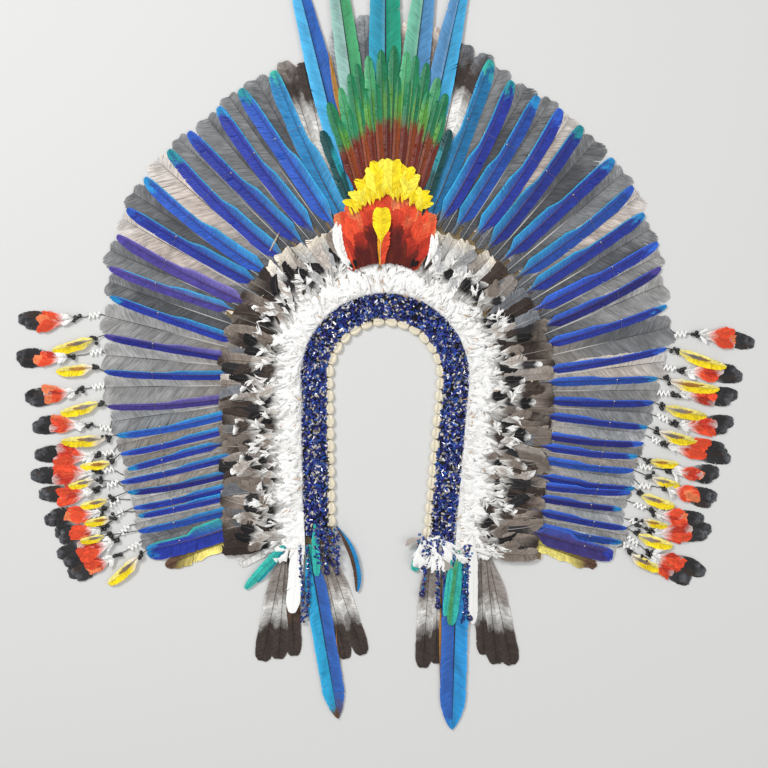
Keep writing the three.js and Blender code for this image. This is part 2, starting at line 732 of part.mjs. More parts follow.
// Bead strands that run out of the end of the bead field, each with a larger bead at its end.
function lappetStrands(side) {
  const low = ON_COVERTS;
  const knotHeight = low + VANE_THICKNESS - ON_BACKING;
  const rows = LAPPETS[side].strands;
  const outs = rows.map((row) => row.out * BEAD_HALF_WIDTH);
  const span = Math.max(...outs) - Math.min(...outs) + DROP_BEAD_RADIUS;
  const middle = (Math.max(...outs) + Math.min(...outs)) / 2;
  const place = archPlace(side, decoratedRun(side) + STRAND_INSET, middle);
  const bar = new THREE.BoxGeometry(span, DROP_BEAD_RADIUS, knotHeight)
    .rotateZ(radians(90 - place.heading));
  const parts = [fromGeometry(bar.toNonIndexed(), place.x, place.y, ON_BACKING + knotHeight / 2)];
  rows.forEach(({ out, turn, long }) => {
    const start = archPlace(side, decoratedRun(side) + STRAND_INSET, out * BEAD_HALF_WIDTH);
    const heading = 180 - SIDES[side] * turn;
    const [dx, dy] = unit(heading);
    const length = LAPPET_STRAND_LENGTH * long;
    const at = (reach) => [start.x + dx * reach, start.y + dy * reach];
    const rings = [0, length].map((reach) =>
      vaneRing(...at(reach), heading, DROP_BEAD_RADIUS, low, 2 * VANE_THICKNESS),
    );
    const bead = new THREE.IcosahedronGeometry(DROP_BEAD_RADIUS, 0);
    parts.push(loft(rings));
    parts.push(fromGeometry(bead, ...at(length), low + DROP_BEAD_RADIUS));
  });
  return joined(parts);
}

// A named mesh from a solid.
function piece(name, solid, colour, roughness) {
  const made = solid.getMesh();
  const corners = new Float32Array(made.numVert * 3);
  for (let i = 0; i < made.numVert; i++) corners.set(made.position(i), i * 3);
  const geometry = new THREE.BufferGeometry()
    .setAttribute("position", new THREE.BufferAttribute(corners, 3))
    .setIndex(new THREE.BufferAttribute(made.triVerts, 1));
  geometry.computeVertexNormals();
  const material = new THREE.MeshStandardMaterial({ color: colour, roughness, metalness: 0 });
  const mesh = new THREE.Mesh(geometry, material);
  mesh.name = name;
  return mesh;
}

const headdress = new THREE.Group();
headdress.add(
  piece("backing_band", backing(), COLOURS.backing, 0.9),
  piece("cowrie_edging", cowrieEdging(), COLOURS.shell, 0.3),
  piece("bead_field", beadField(), COLOURS.beads, 0.2),
  piece("down_ruff", downRuff(), COLOURS.down, 0.95),
  piece("crest_back_row", crestBack(), COLOURS.crestBack, 0.7),
  piece("crest_green_row", crestGreen(), COLOURS.green, 0.6),
  piece("crest_yellow_row", crestYellow(), COLOURS.yellow, 0.7),
  piece("crest_red_row", crestRed(), COLOURS.red, 0.7),
  piece("crest_centre_feather", crestCentre(), COLOURS.yellow, 0.7),
);
TAILS.forEach((row, i) =>
  headdress.add(piece(`crest_tail_${i + 1}`, crestTail(row), COLOURS.tail, 0.5)),
);
for (const side of ["left", "right"]) {
  headdress.add(
    piece(`covert_row_${side}`, covertRow(side), COLOURS.covert, 0.8),
    piece(`fan_grey_${side}`, fanGrey(side), COLOURS.grey, 0.7),
    piece(`fan_blue_${side}`, fanBlue(side), COLOURS.blue, 0.5),
    piece(`lappet_blue_${side}`, lappetBlue(side), COLOURS.blue, 0.5),
    piece(`lappet_white_${side}`, lappetWhite(side), COLOURS.white, 0.8),
    piece(`lappet_outer_tails_${side}`, lappetTails(side, LAPPETS[side].outer), COLOURS.black, 0.7),
    piece(`lappet_inner_tails_${side}`, lappetTails(side, LAPPETS[side].inner), COLOURS.black, 0.7),
    piece(`lappet_green_${side}`, lappetGreen(side), COLOURS.green, 0.6),
    piece(`lappet_strands_${side}`, lappetStrands(side), COLOURS.beads, 0.2),
  );
  greyFeathers(side)
    .filter(hasPendant)
    .forEach((f, i) => {
      const number = String(i + 1).padStart(2, "0");
      headdress.add(piece(`tassel_${side}_${number}`, tassel(side, f, i), COLOURS.red, 0.7));
    });
}

export default headdress;
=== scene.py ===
"""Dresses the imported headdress: feathers, down, beads, shells, strings and the woven band.

Lengths in the functions are in millimetres in the CAD frame, +X to the right, +Y to the crest and
+Z out of the decorated face, and become metres when a mesh is made.
"""

from functools import partial

import bpy
import numpy as np
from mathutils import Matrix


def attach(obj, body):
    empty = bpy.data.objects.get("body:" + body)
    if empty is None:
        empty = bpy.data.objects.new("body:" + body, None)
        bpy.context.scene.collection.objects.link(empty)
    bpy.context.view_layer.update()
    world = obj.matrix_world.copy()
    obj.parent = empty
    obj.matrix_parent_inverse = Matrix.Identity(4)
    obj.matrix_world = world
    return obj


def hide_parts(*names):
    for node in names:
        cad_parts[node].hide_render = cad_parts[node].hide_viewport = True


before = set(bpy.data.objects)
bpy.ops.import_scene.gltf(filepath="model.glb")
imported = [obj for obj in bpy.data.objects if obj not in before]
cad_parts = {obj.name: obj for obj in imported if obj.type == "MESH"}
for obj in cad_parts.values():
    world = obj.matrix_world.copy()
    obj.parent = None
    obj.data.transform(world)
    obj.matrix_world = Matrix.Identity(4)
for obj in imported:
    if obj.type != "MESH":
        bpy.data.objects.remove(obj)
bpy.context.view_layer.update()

bl_info = {
    "name": "Feathered Headdress",
    "version": (1, 0, 0),
    "blender": (4, 5, 0),
    "location": "3D View > Sidebar > Headdress",
    "description": "Makes the feathers, down, beads, shells and strings of a ceremonial headdress",
    "category": "Mesh",
}

# The arch's middle line: a half circle over two arms that lean inwards a little.
ARCH_RADIUS = 93.0
ARM_LENGTH = 200.0
ARC_TURN = {-1: 91.0, 1: 95.0}  # degrees of the arc on each side
FAN_ROOT = 98.0  # how far out the fan's quills are bound
COWRIE_LINE = 20.2  # how far inside the middle line the shells lie
SHELL_THREAD = 15.6  # the same for the thread that holds them
BEAD_HALF = 15.5  # half width of the bead field
BAND_EDGES = (-22.4, 131)  # the woven band's inner and outer edges, from the middle line
BAND_CORDS = (-22.0, 130.6)  # the cords that bind them
BAND_TOP, BAND_UNDER = 2.4, 0.1  # heights of the woven band's faces
CLOTH_LEVEL = 2.8  # height at which the beads' cloth begins
DOWN_LEVEL = 3  # the same for the down's base
FAN_CORD, GREY_CORD = 6.4, 4.2  # heights of the cords that bind the blue and the grey quills

# How many there are on each side.
BEADS_A_SIDE = 2050
DOWN_A_SIDE = 600
BARBS_A_SIDE = 2000
TAN_BARBS = 70

MM = 0.001
METRE = 1000
PIXEL = 1.3  # mm to one pixel of the photograph
CROWN_PIXEL = (385, 306)  # where the frame's origin is on the photograph
SIDES = ((-1, "left"), (1, "right"))

# Real colours, as sRGB hex values.
PALETTE = {
    "sky": "3f9fce", "azure": "2488c6", "cyan": "2a9bc8", "cobalt": "2c5cc4", "royal": "2f6ad6",
    "ultramarine": "2b3fae", "indigo": "2b2f8e", "violet": "4f4499", "lilac": "7a70b4", "teal": "1c8a96",
    "turquoise": "35b0a4", "mint": "84aaa2", "emerald": "1f7a50", "leaf": "4f8f38", "fern": "469a68",
    "sea": "1c8f74", "lagoon": "2289a6", "steel": "4d84b2", "denim": "2b5aa6", "foam": "62a48d",
    "coral": "e57a4e", "pine": "0f4547", "straw": "eadb78", "lemon": "f8e748", "gold": "f6d91e",
    "amber": "e09a1c", "ochre": "b07c34", "flame": "e24c2c", "crimson": "b9301f",
    "maroon": "541410", "rust": "833a16", "umber": "5a4030", "brown": "3a302b", "taupe": "7d7269",
    "olive": "8c7c34", "black": "131215", "charcoal": "2b2a2c", "slate": "686b70", "grey": "979a9d",
    "dove": "b1b1b2", "pearl": "cfcdc9", "rose": "c6b9b0", "ash": "b0a79f", "stone": "8c847e",
    "russet": "6a2110", "cream": "e6dccb", "sand": "c8a37c", "white": "fcfbf8", "horn": "b9ac98",
}


def linear(code):
    """The linear colour of an sRGB hex value, by the sRGB curve."""
    value = np.array([int(code[i : i + 2], 16) / 255 for i in (0, 2, 4)])
    return np.where(value <= 0.04045, value / 12.92, ((value + 0.055) / 1.055) ** 2.4)


INK = {name: linear(code) for name, code in PALETTE.items()}


def inks(names, count):
    """The linear colours of `count` pieces, from a list or a string of names that is repeated."""
    names = names.split() if isinstance(names, str) else list(names)
    return np.array([INK[names[i % len(names)]] for i in range(count)])


def smooth(value):
    """3v^2 - 2v^3 between 0 and 1."""
    value = np.clip(value, 0, 1)
    return value * value * (3 - 2 * value)


def photo(points):
    """Places on the photograph's grid of 768, as places in the frame."""
    points = np.asarray(points, float)
    return np.stack([points[..., 0] - CROWN_PIXEL[0], CROWN_PIXEL[1] - points[..., 1]], -1) * PIXEL


def arc_run(side):
    """The run at which the arc ends and the straight arm begins."""
    return np.radians(ARC_TURN[side]) * ARCH_RADIUS


def arch(side, run, offset):
    """x, y and outward heading of places `run` along the middle line and `offset` out from it:
    a circle about (0, -R) up to the arc's turn, then the straight arm on from there."""
    run, offset = np.broadcast_arrays(np.asarray(run, float), np.asarray(offset, float))
    full = arc_run(side)
    turned = np.minimum(run, full) / ARCH_RADIUS
    down = np.maximum(0, run - full)
    out_x, out_y = side * np.sin(turned), np.cos(turned)
    x = (ARCH_RADIUS + offset) * out_x + down * side * np.cos(turned)
    y = (ARCH_RADIUS + offset) * out_y - ARCH_RADIUS - down * np.sin(turned)
    return x, y, side * np.degrees(turned)


def end_run(side):
    """The run at which the decorated arm ends."""
    return arc_run(side) + ARM_LENGTH


def stitch(count, rings, around):
    """Faces of `count` closed tubes whose points go ring by ring: quads between neighbouring rings
    and a polygon on each end ring."""
    tube = np.arange(count) * rings * around
    j = np.arange(around)
    low = tube[:, None, None] + np.arange(rings - 1)[None, :, None] * around
    quads = np.stack([low + j, low + (j + 1) % around, low + around + (j + 1) % around, low + around + j], -1)
    ends = np.concatenate([tube[:, None] + j[::-1], tube[:, None] + (rings - 1) * around + j])
    return quads.reshape(-1, 4), ends


# The sizes of a feather where a row of feathers gives none of its own, in mm or shares of the length.
PLAIN = {
    "lead": 8,  # half width of the leading vane, on the side that `side` names
    "trail": 8,
    "side": 1,
    "low": 3,  # height of the quill's end
    "drop": 0,  # fall of the tip below it
    "rise": 0,  # height of the bow between them
    "bow": 0,  # sideways bow, to the right, as a share of the length
    "hook": 0,  # sideways curl of the tip
    "camber": 0.8,
    "tilt": 0,  # rise of the leading edge over the shaft
    "bare": 0.02,
    "fill": 0.2,
    "base": 0.1,
    "tip": 0.8,
    "blunt": 2,
    "notch": 2,  # where the leading vane narrows, and by how much
    "narrow": 1,
    "fray": 1,  # below 1 the splits gather towards the tip
    "gape": 0.55,  # half width of a split at the edge
    "quill": 0.9,
    "slant": 0.6,
    "ragged": 0.04,
    "split": 0.35,
    "tip_from": 2,
    "root_to": -1,
    "blend": 0.06,
}
ZONES = ("lead", "trail", "tip", "root", "shaft")  # the painted parts of a feather, in a paint's order
ACROSS = {
    "fine": ((-1, -0.66, -0.33, -0.02, 0, 0.02, 0.33, 0.66, 1), (0.5, 0, -0.5)),
    "light": ((-1, -0.4, 0, 0.4, 1), (0,)),
}


def feathers(x, y, heading, length, rows=26, cuts=3, build="fine", seed=1, paint="grey", shade=0.1, **sizes):
    """Closed feather blades. A ring's place along the shaft is u: the shaft goes straight from the
    root with a parabola of `bow` and a cube of `hook` sideways. The half width grows by a smooth step
    over `fill` and closes over the tip as a superellipse, 1 - t^blunt to the power 1/blunt. Each
    ring's points are carried forward by `slant` times their distance from the shaft, as barbs are,
    and thin V cuts at random rings are the splits between barbs. `paint` names the colours of the
    zones, as words between bars in the order of ZONES or by name; a zone left out has the lead's."""
    x, y, heading, length = (np.atleast_1d(np.asarray(v, float)) for v in (x, y, heading, length))
    count = max(len(v) for v in (x, y, heading, length))
    x, y, heading, length = (np.broadcast_to(v, (count,)) for v in (x, y, heading, length))
    p = {k: np.broadcast_to(np.asarray(sizes.get(k, v), float), (count,))[:, None] for k, v in PLAIN.items()}
    rng = np.random.default_rng(seed)
    span = length[:, None]
    steps = np.linspace(0, 1, rows)
    steps = 1 - (1 - steps) ** 1.35
    u = np.tile(steps, (count, 1))
    cut = 0.3 + 0.68 * rng.random((count, cuts)) ** p["fray"]
    gap = np.clip(p["gape"] / span, 0.002, 0.03)
    if cuts:
        u = np.sort(np.concatenate([u, cut - gap, cut, cut + gap], 1), 1)
        u = np.clip(u, 0, 1)
    u[:, 0], u[:, -1] = 0, 1
    rings = u.shape[1]
    body = p["base"] + (1 - p["base"]) * smooth((u - p["bare"]) / p["fill"])
    close = np.clip((u - p["tip"]) / (1 - p["tip"]), 0, 1)
    close = np.clip(1 - close ** p["blunt"], 0, 1) ** (1 / p["blunt"])
    worn = 1 - p["ragged"] * rng.random((count, rings)) * 2 * smooth(u * 3)
    lead = p["lead"] * body * close * worn * (1 - (1 - p["narrow"]) * smooth((u - p["notch"]) / 0.14))
    trail = p["trail"] * body * close * worn
    if cuts:
        near = np.abs(u[:, :, None] - cut[:, None, :]) < gap[:, :, None] * 0.4
        deep = p["split"] * rng.uniform(0.4, 1.4, (count, 1))
        on_lead = rng.random((count, 1, cuts)) < 0.5
        lead = lead * (1 - deep * (near & on_lead).any(2))
        trail = trail * (1 - deep * (near & ~on_lead).any(2))
    top, under = ACROSS[build]
    q = np.array(top + under)[None, None, :]
    bottom = np.arange(q.shape[2]) >= len(top)
    quill = (p["quill"] * (1 - 0.8 * u))[:, :, None]
    side = p["side"][:, :, None]
    width = np.where(q * side > 0, lead[:, :, None], trail[:, :, None])
    width = np.maximum(width, quill * (close[:, :, None] > 0.02))
    near_quill = (np.abs(q) < 0.1) & (q != 0)
    off = np.where(near_quill, np.sign(q) * np.minimum(quill, width * 0.3), q * width)
    edge = off / np.maximum(width, 1e-3)
    along = (u * span)[:, :, None] + p["slant"][:, :, None] * np.abs(off)
    sway = (span * (p["bow"] * 4 * u * (1 - u) + p["hook"] * u**3))[:, :, None]
    turn = np.radians(heading)[:, None, None]
    wide = sway + off
    px = x[:, None, None] + np.sin(turn) * along + np.cos(turn) * wide
    py = y[:, None, None] + np.cos(turn) * along - np.sin(turn) * wide
    line = (p["low"] - p["drop"] * u + p["rise"] * 4 * u * (1 - u))[:, :, None]
    phase = rng.uniform(0, 6.28, (count, 1, 1))
    wave = 0.25 * np.sin(u[:, :, None] * 14 + phase + q * 1.5) * q * q
    pz = line + p["tilt"][:, :, None] * edge * side + p["camber"][:, :, None] * (1 - edge**2) + wave
    ridge = np.where(q == 0, quill, 0) * (close[:, :, None] > 0.02)
    pz = np.where(bottom, pz - 0.3 - ridge * 0.5, pz + ridge)
    pz = np.maximum(pz, np.where(bottom, 0.12, 0.4))
    quads, ends = stitch(count, rings, q.shape[2])
    if isinstance(paint, str):
        paint = {zone: named.split() for zone, named in zip(ZONES, paint.split("|")) if named.strip()}
    tone = 1 + shade * rng.uniform(-1, 1, (count, 1))
    colours = {}
    for name in ZONES:
        ink = paint.get(name, "horn" if name == "shaft" else paint["lead"])
        ink = inks(ink, count) if isinstance(ink, (str, list, tuple)) else ink
        colours[name] = np.repeat(ink * tone, rings * q.shape[2], 0)
    shape = px.shape
    vane = [np.broadcast_to(v, shape) for v in (u[:, :, None], edge * side, span[:, :, None])]
    marks = [np.broadcast_to(p[k][:, :, None], shape) for k in ("tip_from", "root_to", "blend")]
    pattern = rng.random((count, 1, 1)) * 50
    return {
        "points": np.stack([px, py, pz], -1).reshape(-1, 3), "quads": quads, "ends": ends,
        "paint": {**colours, "vane": np.stack(vane, -1).reshape(-1, 3), "marks": np.stack(marks, -1).reshape(-1,
        3), "pattern": np.repeat(np.broadcast_to(pattern, shape).reshape(-1, 1), 3, 1)}}


def tubes(paths, radius, sides=5, tint="white", finish=0):
    """Closed round tubes along paths of shape (tubes, places, 3), or along one path: at each place a
    ring in the plane across the path's direction, of `radius`, one number or one for each place."""
    paths = np.asarray(paths, float).reshape(-1, *np.shape(paths)[-2:])
    count, places = paths.shape[:2]
    along = np.gradient(paths, axis=1)
    along /= np.linalg.norm(along, axis=2, keepdims=True) + 1e-9
    right = np.cross(along, [0.013, 0.021, 1.0])
    right /= np.linalg.norm(right, axis=2, keepdims=True) + 1e-9
    up = np.cross(right, along)
    angle = -np.arange(sides) * 2 * np.pi / sides
    radius = np.broadcast_to(np.asarray(radius, float), (count, places))[:, :, None, None]
    ring = np.cos(angle)[:, None] * right[:, :, None] + np.sin(angle)[:, None] * up[:, :, None]
    points = (paths[:, :, None] + radius * ring).reshape(-1, 3)
    quads, ends = stitch(count, places, sides)
    ink = inks(tint, count) if isinstance(tint, (str, list, tuple)) else tint
    paint = {"lead": np.repeat(ink, places * sides, 0)}
    return {"points": points, "quads": quads, "ends": ends, "paint": paint, "finish": finish}


def scatter(shape, quads, ends, places, frames, tint, finish=0):
    """Copies of one small closed shape: each point is the place plus the frame's three axes times the
    shape's own coordinates."""
    count, size = len(places), len(shape)
    points = places[:, None] + np.einsum("nij,kj->nki", frames, shape)
    step = np.arange(count)[:, None, None] * size
    return {
        "points": points.reshape(-1, 3), "quads": (step + quads).reshape(-1, 4),
        "ends": (step + ends).reshape(-1, ends.shape[1]), "paint": {"lead": np.repeat(tint, size, 0)},
        "finish": finish}


def strip(rings, tint, inside_out=False, finish=0):
    """A closed strip of one colour from rings of places, laid ring by ring."""
    quads, ends = stitch(1, *rings.shape[:2])
    if inside_out:
        quads, ends = quads[:, ::-1], ends[:, ::-1]
    paint = {"lead": np.tile(tint, (rings.size // 3, 1))}
    return {"points": rings.reshape(-1, 3), "quads": quads, "ends": ends, "paint": paint, "finish": finish}


def turned(profile, sides):
    """A closed turned form along its own X: rings of the profile's (place, radius)."""
    profile = np.asarray(profile, float)
    angle = np.arange(sides) * 2 * np.pi / sides
    ring = np.stack([np.zeros(sides), np.cos(angle), np.sin(angle)], -1)
    points = profile[:, None, 1:2] * ring[None] + profile[:, None, :1] * np.array([1.0, 0, 0])
    return points.reshape(-1, 3), *stitch(1, len(profile), sides)


def any_way(count, flat, rng):
    """Frames of unit axes: a first axis turned any way in the plane and tipped out of it by up to
    `flat` radians, and a roll about it."""
    turn, tip, roll = rng.uniform(0, 6.28, count), rng.uniform(-flat, flat, count), rng.uniform(0, 6.28, count)
    first = np.stack([np.cos(turn) * np.cos(tip), np.sin(turn) * np.cos(tip), np.sin(tip)], -1)
    flatly = np.stack([-np.sin(turn), np.cos(turn), 0 * turn], -1)
    third = np.cross(first, flatly)
    cos, sin = np.cos(roll)[:, None], np.sin(roll)[:, None]
    return np.stack([first, flatly * cos + third * sin, third * cos - flatly * sin], -1)


def joined(chunks):
    """Several lots of faces as one, with the colours that a lot lacks left grey."""
    names = sorted({name for c in chunks for name in c["paint"]})
    start = np.cumsum([0] + [len(c["points"]) for c in chunks])
    counts, loops, kinds = [], [], []
    for c, first in zip(chunks, start):
        for faces in (c["quads"], c["ends"]):
            if len(faces):
                counts.append(np.full(len(faces), faces.shape[1]))
                loops.append((faces + first).ravel())
                kinds.append(np.full(len(faces), c.get("finish", 0)))
    paint = {
        n: np.concatenate(
        [c["paint"].get(n, np.full((len(c["points"]), 3), 0.3)) for c in chunks]) for n in names}
    points = np.concatenate([c["points"] for c in chunks])
    return points, np.concatenate(counts), np.concatenate(loops), np.concatenate(kinds), paint


def piece(name, nodes, finishes, chunks, crease=50):
    """Makes one object from lots of faces, rides it on the body and puts it in place of its nodes."""
    points, counts, loops, kinds, paint = joined(chunks)
    mesh = bpy.data.meshes.new(name)
    mesh.vertices.add(len(points))
    mesh.vertices.foreach_set("co", (points * MM).astype(np.float32).ravel())
    mesh.loops.add(len(loops))
    mesh.loops.foreach_set("vertex_index", loops.astype(np.int32))
    mesh.polygons.add(len(counts))
    mesh.polygons.foreach_set("loop_start", np.concatenate([[0], np.cumsum(counts)[:-1]]).astype(np.int32))
    mesh.polygons.foreach_set("loop_total", counts.astype(np.int32))
    mesh.polygons.foreach_set("material_index", kinds.astype(np.int32))
    for attribute, values in paint.items():
        layer = mesh.attributes.new(attribute, "FLOAT_VECTOR", "POINT")
        layer.data.foreach_set("vector", values.astype(np.float32).ravel())
    mesh.update(calc_edges=True)
    if mesh.validate():
        raise RuntimeError(f"{name} has faces that Blender had to mend")
    mesh.polygons.foreach_set("use_smooth", np.ones(len(counts), bool))
    mesh.set_sharp_from_angle(angle=np.radians(crease))
    for finish in finishes.split():
        mesh.materials.append(bpy.data.materials[finish])
    made = bpy.data.objects.new(name, mesh)
    bpy.context.scene.collection.objects.link(made)
    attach(made, "root")
    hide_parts(*nodes.split())


# ---------------------------------------------------------------- materials


def add(tree, kind, feeds=(), out=0, **settings):
    """Adds a node, changes its settings, gives its inputs a value or another node's output, in order
    or by key, and gives back one of its outputs, or all of them where `out` is None."""
    made = tree.nodes.new("ShaderNode" + kind)
    for key, value in settings.items():
        setattr(made, key, value)
    for key, value in feeds.items() if isinstance(feeds, dict) else enumerate(feeds):
        if isinstance(value, bpy.types.NodeSocket):
            tree.links.new(value, made.inputs[key])
        else:
            made.inputs[key].default_value = value
    return made.outputs if out is None else made.outputs[out]


def blank(name):
    """The empty node tree of a new material."""
    made = bpy.data.materials.new(name)
    made.use_nodes = True
    made.node_tree.nodes.clear()
    return made.node_tree


def finish(tree, feeds, height=None, relief=0.0):
    """Ends a material: what its shader is fed, and a relief of `relief` mm where there is a height."""
    if height is not None:
        feeds["Normal"] = add(tree, "Bump", {"Height": height, "Distance": relief * MM, "Strength": 1.0})
    add(tree, "OutputMaterial", {"Surface": add(tree, "BsdfPrincipled", feeds)}, None)


def shaft_vane(name, barb, streak, rough, sheen, bump, shaft_width=0.055, rim=0.0, mottle=0.15, edge=None,
        shaft_dark=2.0):
    """Keratin, grown as barbs on a shaft: fine parallel lines that run out from the shaft, a dark or
    pale shaft line, and patches that differ a little in tone. `barb` is the spacing in mm of the
    lines; real barbs are about 0.3 mm apart, too fine to show, so they are drawn in bundles. With
    `edge`, the leading colour is a rim that starts there and the whole leading vane near the root."""
    tree = blank(name)
    node = partial(add, tree)
    read = {
        key: node("Attribute", out="Vector", attribute_name=key) for key in ("vane", "marks", "pattern", "lead",
        "trail", "tip", "root", "shaft")}
    along, signed, span = node("SeparateXYZ", (read["vane"],), None)
    tip_from, root_to, blend = node("SeparateXYZ", (read["marks"],), None)
    own = node("SeparateXYZ", (read["pattern"],))
    millimetres = node("Math", (along, span), operation="MULTIPLY")
    across = node("Math", (signed,), operation="ABSOLUTE")
    noises = []
    # Noise drawn out along the barbs, stretched to 0 to 1: first the barbs, then the patches of tone.
    for pitch, wide in ((barb, 1.3), (barb * 9, 1.1)):
        out_from_shaft = node("Math", (signed, wide), operation="MULTIPLY")
        vector = node(
            "CombineXYZ", (node("Math", (millimetres, pitch), operation="DIVIDE"), out_from_shaft, own))
        noise = node("TexNoise", {"Vector": vector, "Scale": 1.0, "Detail": 2.0, "Roughness": 0.65})
        noises.append(node("MapRange", {0: noise, 1: 0.32, 2: 0.68}))
    lines, patch = noises
    place = node("Math", (along, node("Math", (patch, 0.1, -0.05), operation="MULTIPLY_ADD")), operation="ADD")
    if edge is None:
        lead_side = node("MapRange", {0: signed, 1: -0.05, 2: 0.05})
    else:
        outer = node("MapRange", {0: signed, 1: edge, 2: 0.95})
        inner = node("MapRange", {0: signed, 1: 0.0, 2: 0.5})
        low = node("MapRange", {0: place, 1: 0.6, 2: 0.22, 3: 0.0, 4: 0.55})
        inner_low = node("Math", (inner, low), operation="MULTIPLY")
        lead_side = node("Math", (outer, inner_low), operation="MAXIMUM")
    colour = node("Mix", {0: lead_side, 6: read["trail"], 7: read["lead"]}, 2, data_type="RGBA")
    for high, low, ink in ((place, tip_from, "tip"), (root_to, place, "root")):
        past = node("Math", (high, low), operation="SUBTRACT")
        share = node("MapRange", {0: node("Math", (past, blend), operation="DIVIDE"), 1: -0.5, 2: 0.5})
        colour = node("Mix", {0: share, 6: colour, 7: read[ink]}, 2, data_type="RGBA")
    tone = node("Math", (lines, streak * 2, 1 - streak), operation="MULTIPLY_ADD")
    patches = node("Math", (patch, mottle * 2, 1 - mottle), operation="MULTIPLY_ADD")
    tone = node("Math", (tone, patches), operation="MULTIPLY")
    # Lighter towards both edges of the vane, by `rim`: partly the feathers' own paler edges, partly a painted
    # highlight along them.
    pale_edge_and_highlight = node("Math", (node("Math", (across, 4.0), operation="POWER"), rim), operation="MULTIPLY")
    tone = node("Math", (tone, pale_edge_and_highlight), operation="ADD")
    colour = node("VectorMath", {0: colour, "Scale": tone}, operation="SCALE")
    slim = node("Math", (along, -shaft_width * 0.75, shaft_width), operation="MULTIPLY_ADD")
    on_shaft = node("Math", (across, slim), operation="LESS_THAN")
    fade = node("MapRange", {0: along, 1: shaft_dark - 0.12, 2: shaft_dark + 0.12, 3: 1.0, 4: 0.1})
    shaft = node("VectorMath", {0: read["shaft"], "Scale": fade}, operation="SCALE")
    colour = node("Mix", {0: on_shaft, 6: colour, 7: shaft}, 2, data_type="RGBA")
    off_shaft = node("Math", (1.0, on_shaft), operation="SUBTRACT")
    feeds = {"Base Color": colour, "Roughness": rough, "Specular IOR Level": 0.28}
    feeds |= {"Sheen Weight": sheen, "Sheen Roughness": 0.4}
    finish(tree, feeds, node("Math", (lines, off_shaft), operation="MULTIPLY"), bump)


def tinted(name, rough, coat=0.0, sheen=0.0, spacing=1.0, depth=0.1, spread=0.15, glow=0.0):
    """A finish whose colour comes with the mesh, with small unevenness of tone and height every
    `spacing` mm."""
    tree = blank(name)
    coords = add(tree, "TexCoord", out="Object")
    noise = add(tree, "TexNoise", {"Vector": coords, "Scale": 1 / (spacing * MM), "Detail": 3.0})
    tone = add(tree, "Math", (noise, spread * 2, 1 - spread), operation="MULTIPLY_ADD")
    lead = add(tree, "Attribute", out="Vector", attribute_name="lead")
    colour = add(tree, "VectorMath", {0: lead, "Scale": tone}, operation="SCALE")
    feeds = {"Base Color": colour, "Roughness": rough, "Sheen Weight": sheen}
    feeds |= {"Coat Weight": coat, "Coat Roughness": 0.08}
    if glow:
        feeds |= {"Subsurface Weight": glow, "Subsurface Radius": (0.003, 0.003, 0.0028)}
    finish(tree, feeds, noise, depth)


def plaited(name, first, second, strand):
    """Undyed palm fibre and cotton, plain woven by hand: a chequer of strands that pass over and
    under each other, `strand` mm wide, each a rounded ridge."""
    tree = blank(name)
    coords = add(tree, "TexCoord", out="Object")
    scaled = add(tree, "Mapping", {0: coords, "Scale": [1 / (strand * MM)] * 3})
    ridges = []
    for axis in add(tree, "SeparateXYZ", (scaled,), None)[:2]:
        wave = add(tree, "Math", (add(tree, "Math", (axis, np.pi), operation="MULTIPLY"),), operation="SINE")
        ridges.append(add(tree, "Math", (wave,), operation="ABSOLUTE"))
    over = add(tree, "TexChecker", {"Vector": scaled, "Scale": 1.0}, 1)
    height = add(tree, "Mix", {0: over, 2: ridges[0], 3: ridges[1]})
    noise = add(tree, "TexNoise", {"Vector": coords, "Scale": 400.0, "Detail": 4.0})
    # Brown in the dips between strands and cream on their crowns, mixed with noise: the fibres' own two
    # colours, laid so that the dips hold painted shade.
    share = add(tree, "Math", (height, noise), operation="MULTIPLY")
    inks_of = {0: share, 6: (*linear(first), 1), 7: (*linear(second), 1)}
    finish(tree, {"Base Color": add(tree, "Mix", inks_of, 2, data_type="RGBA"), "Roughness": 0.85}, height, 0.6)


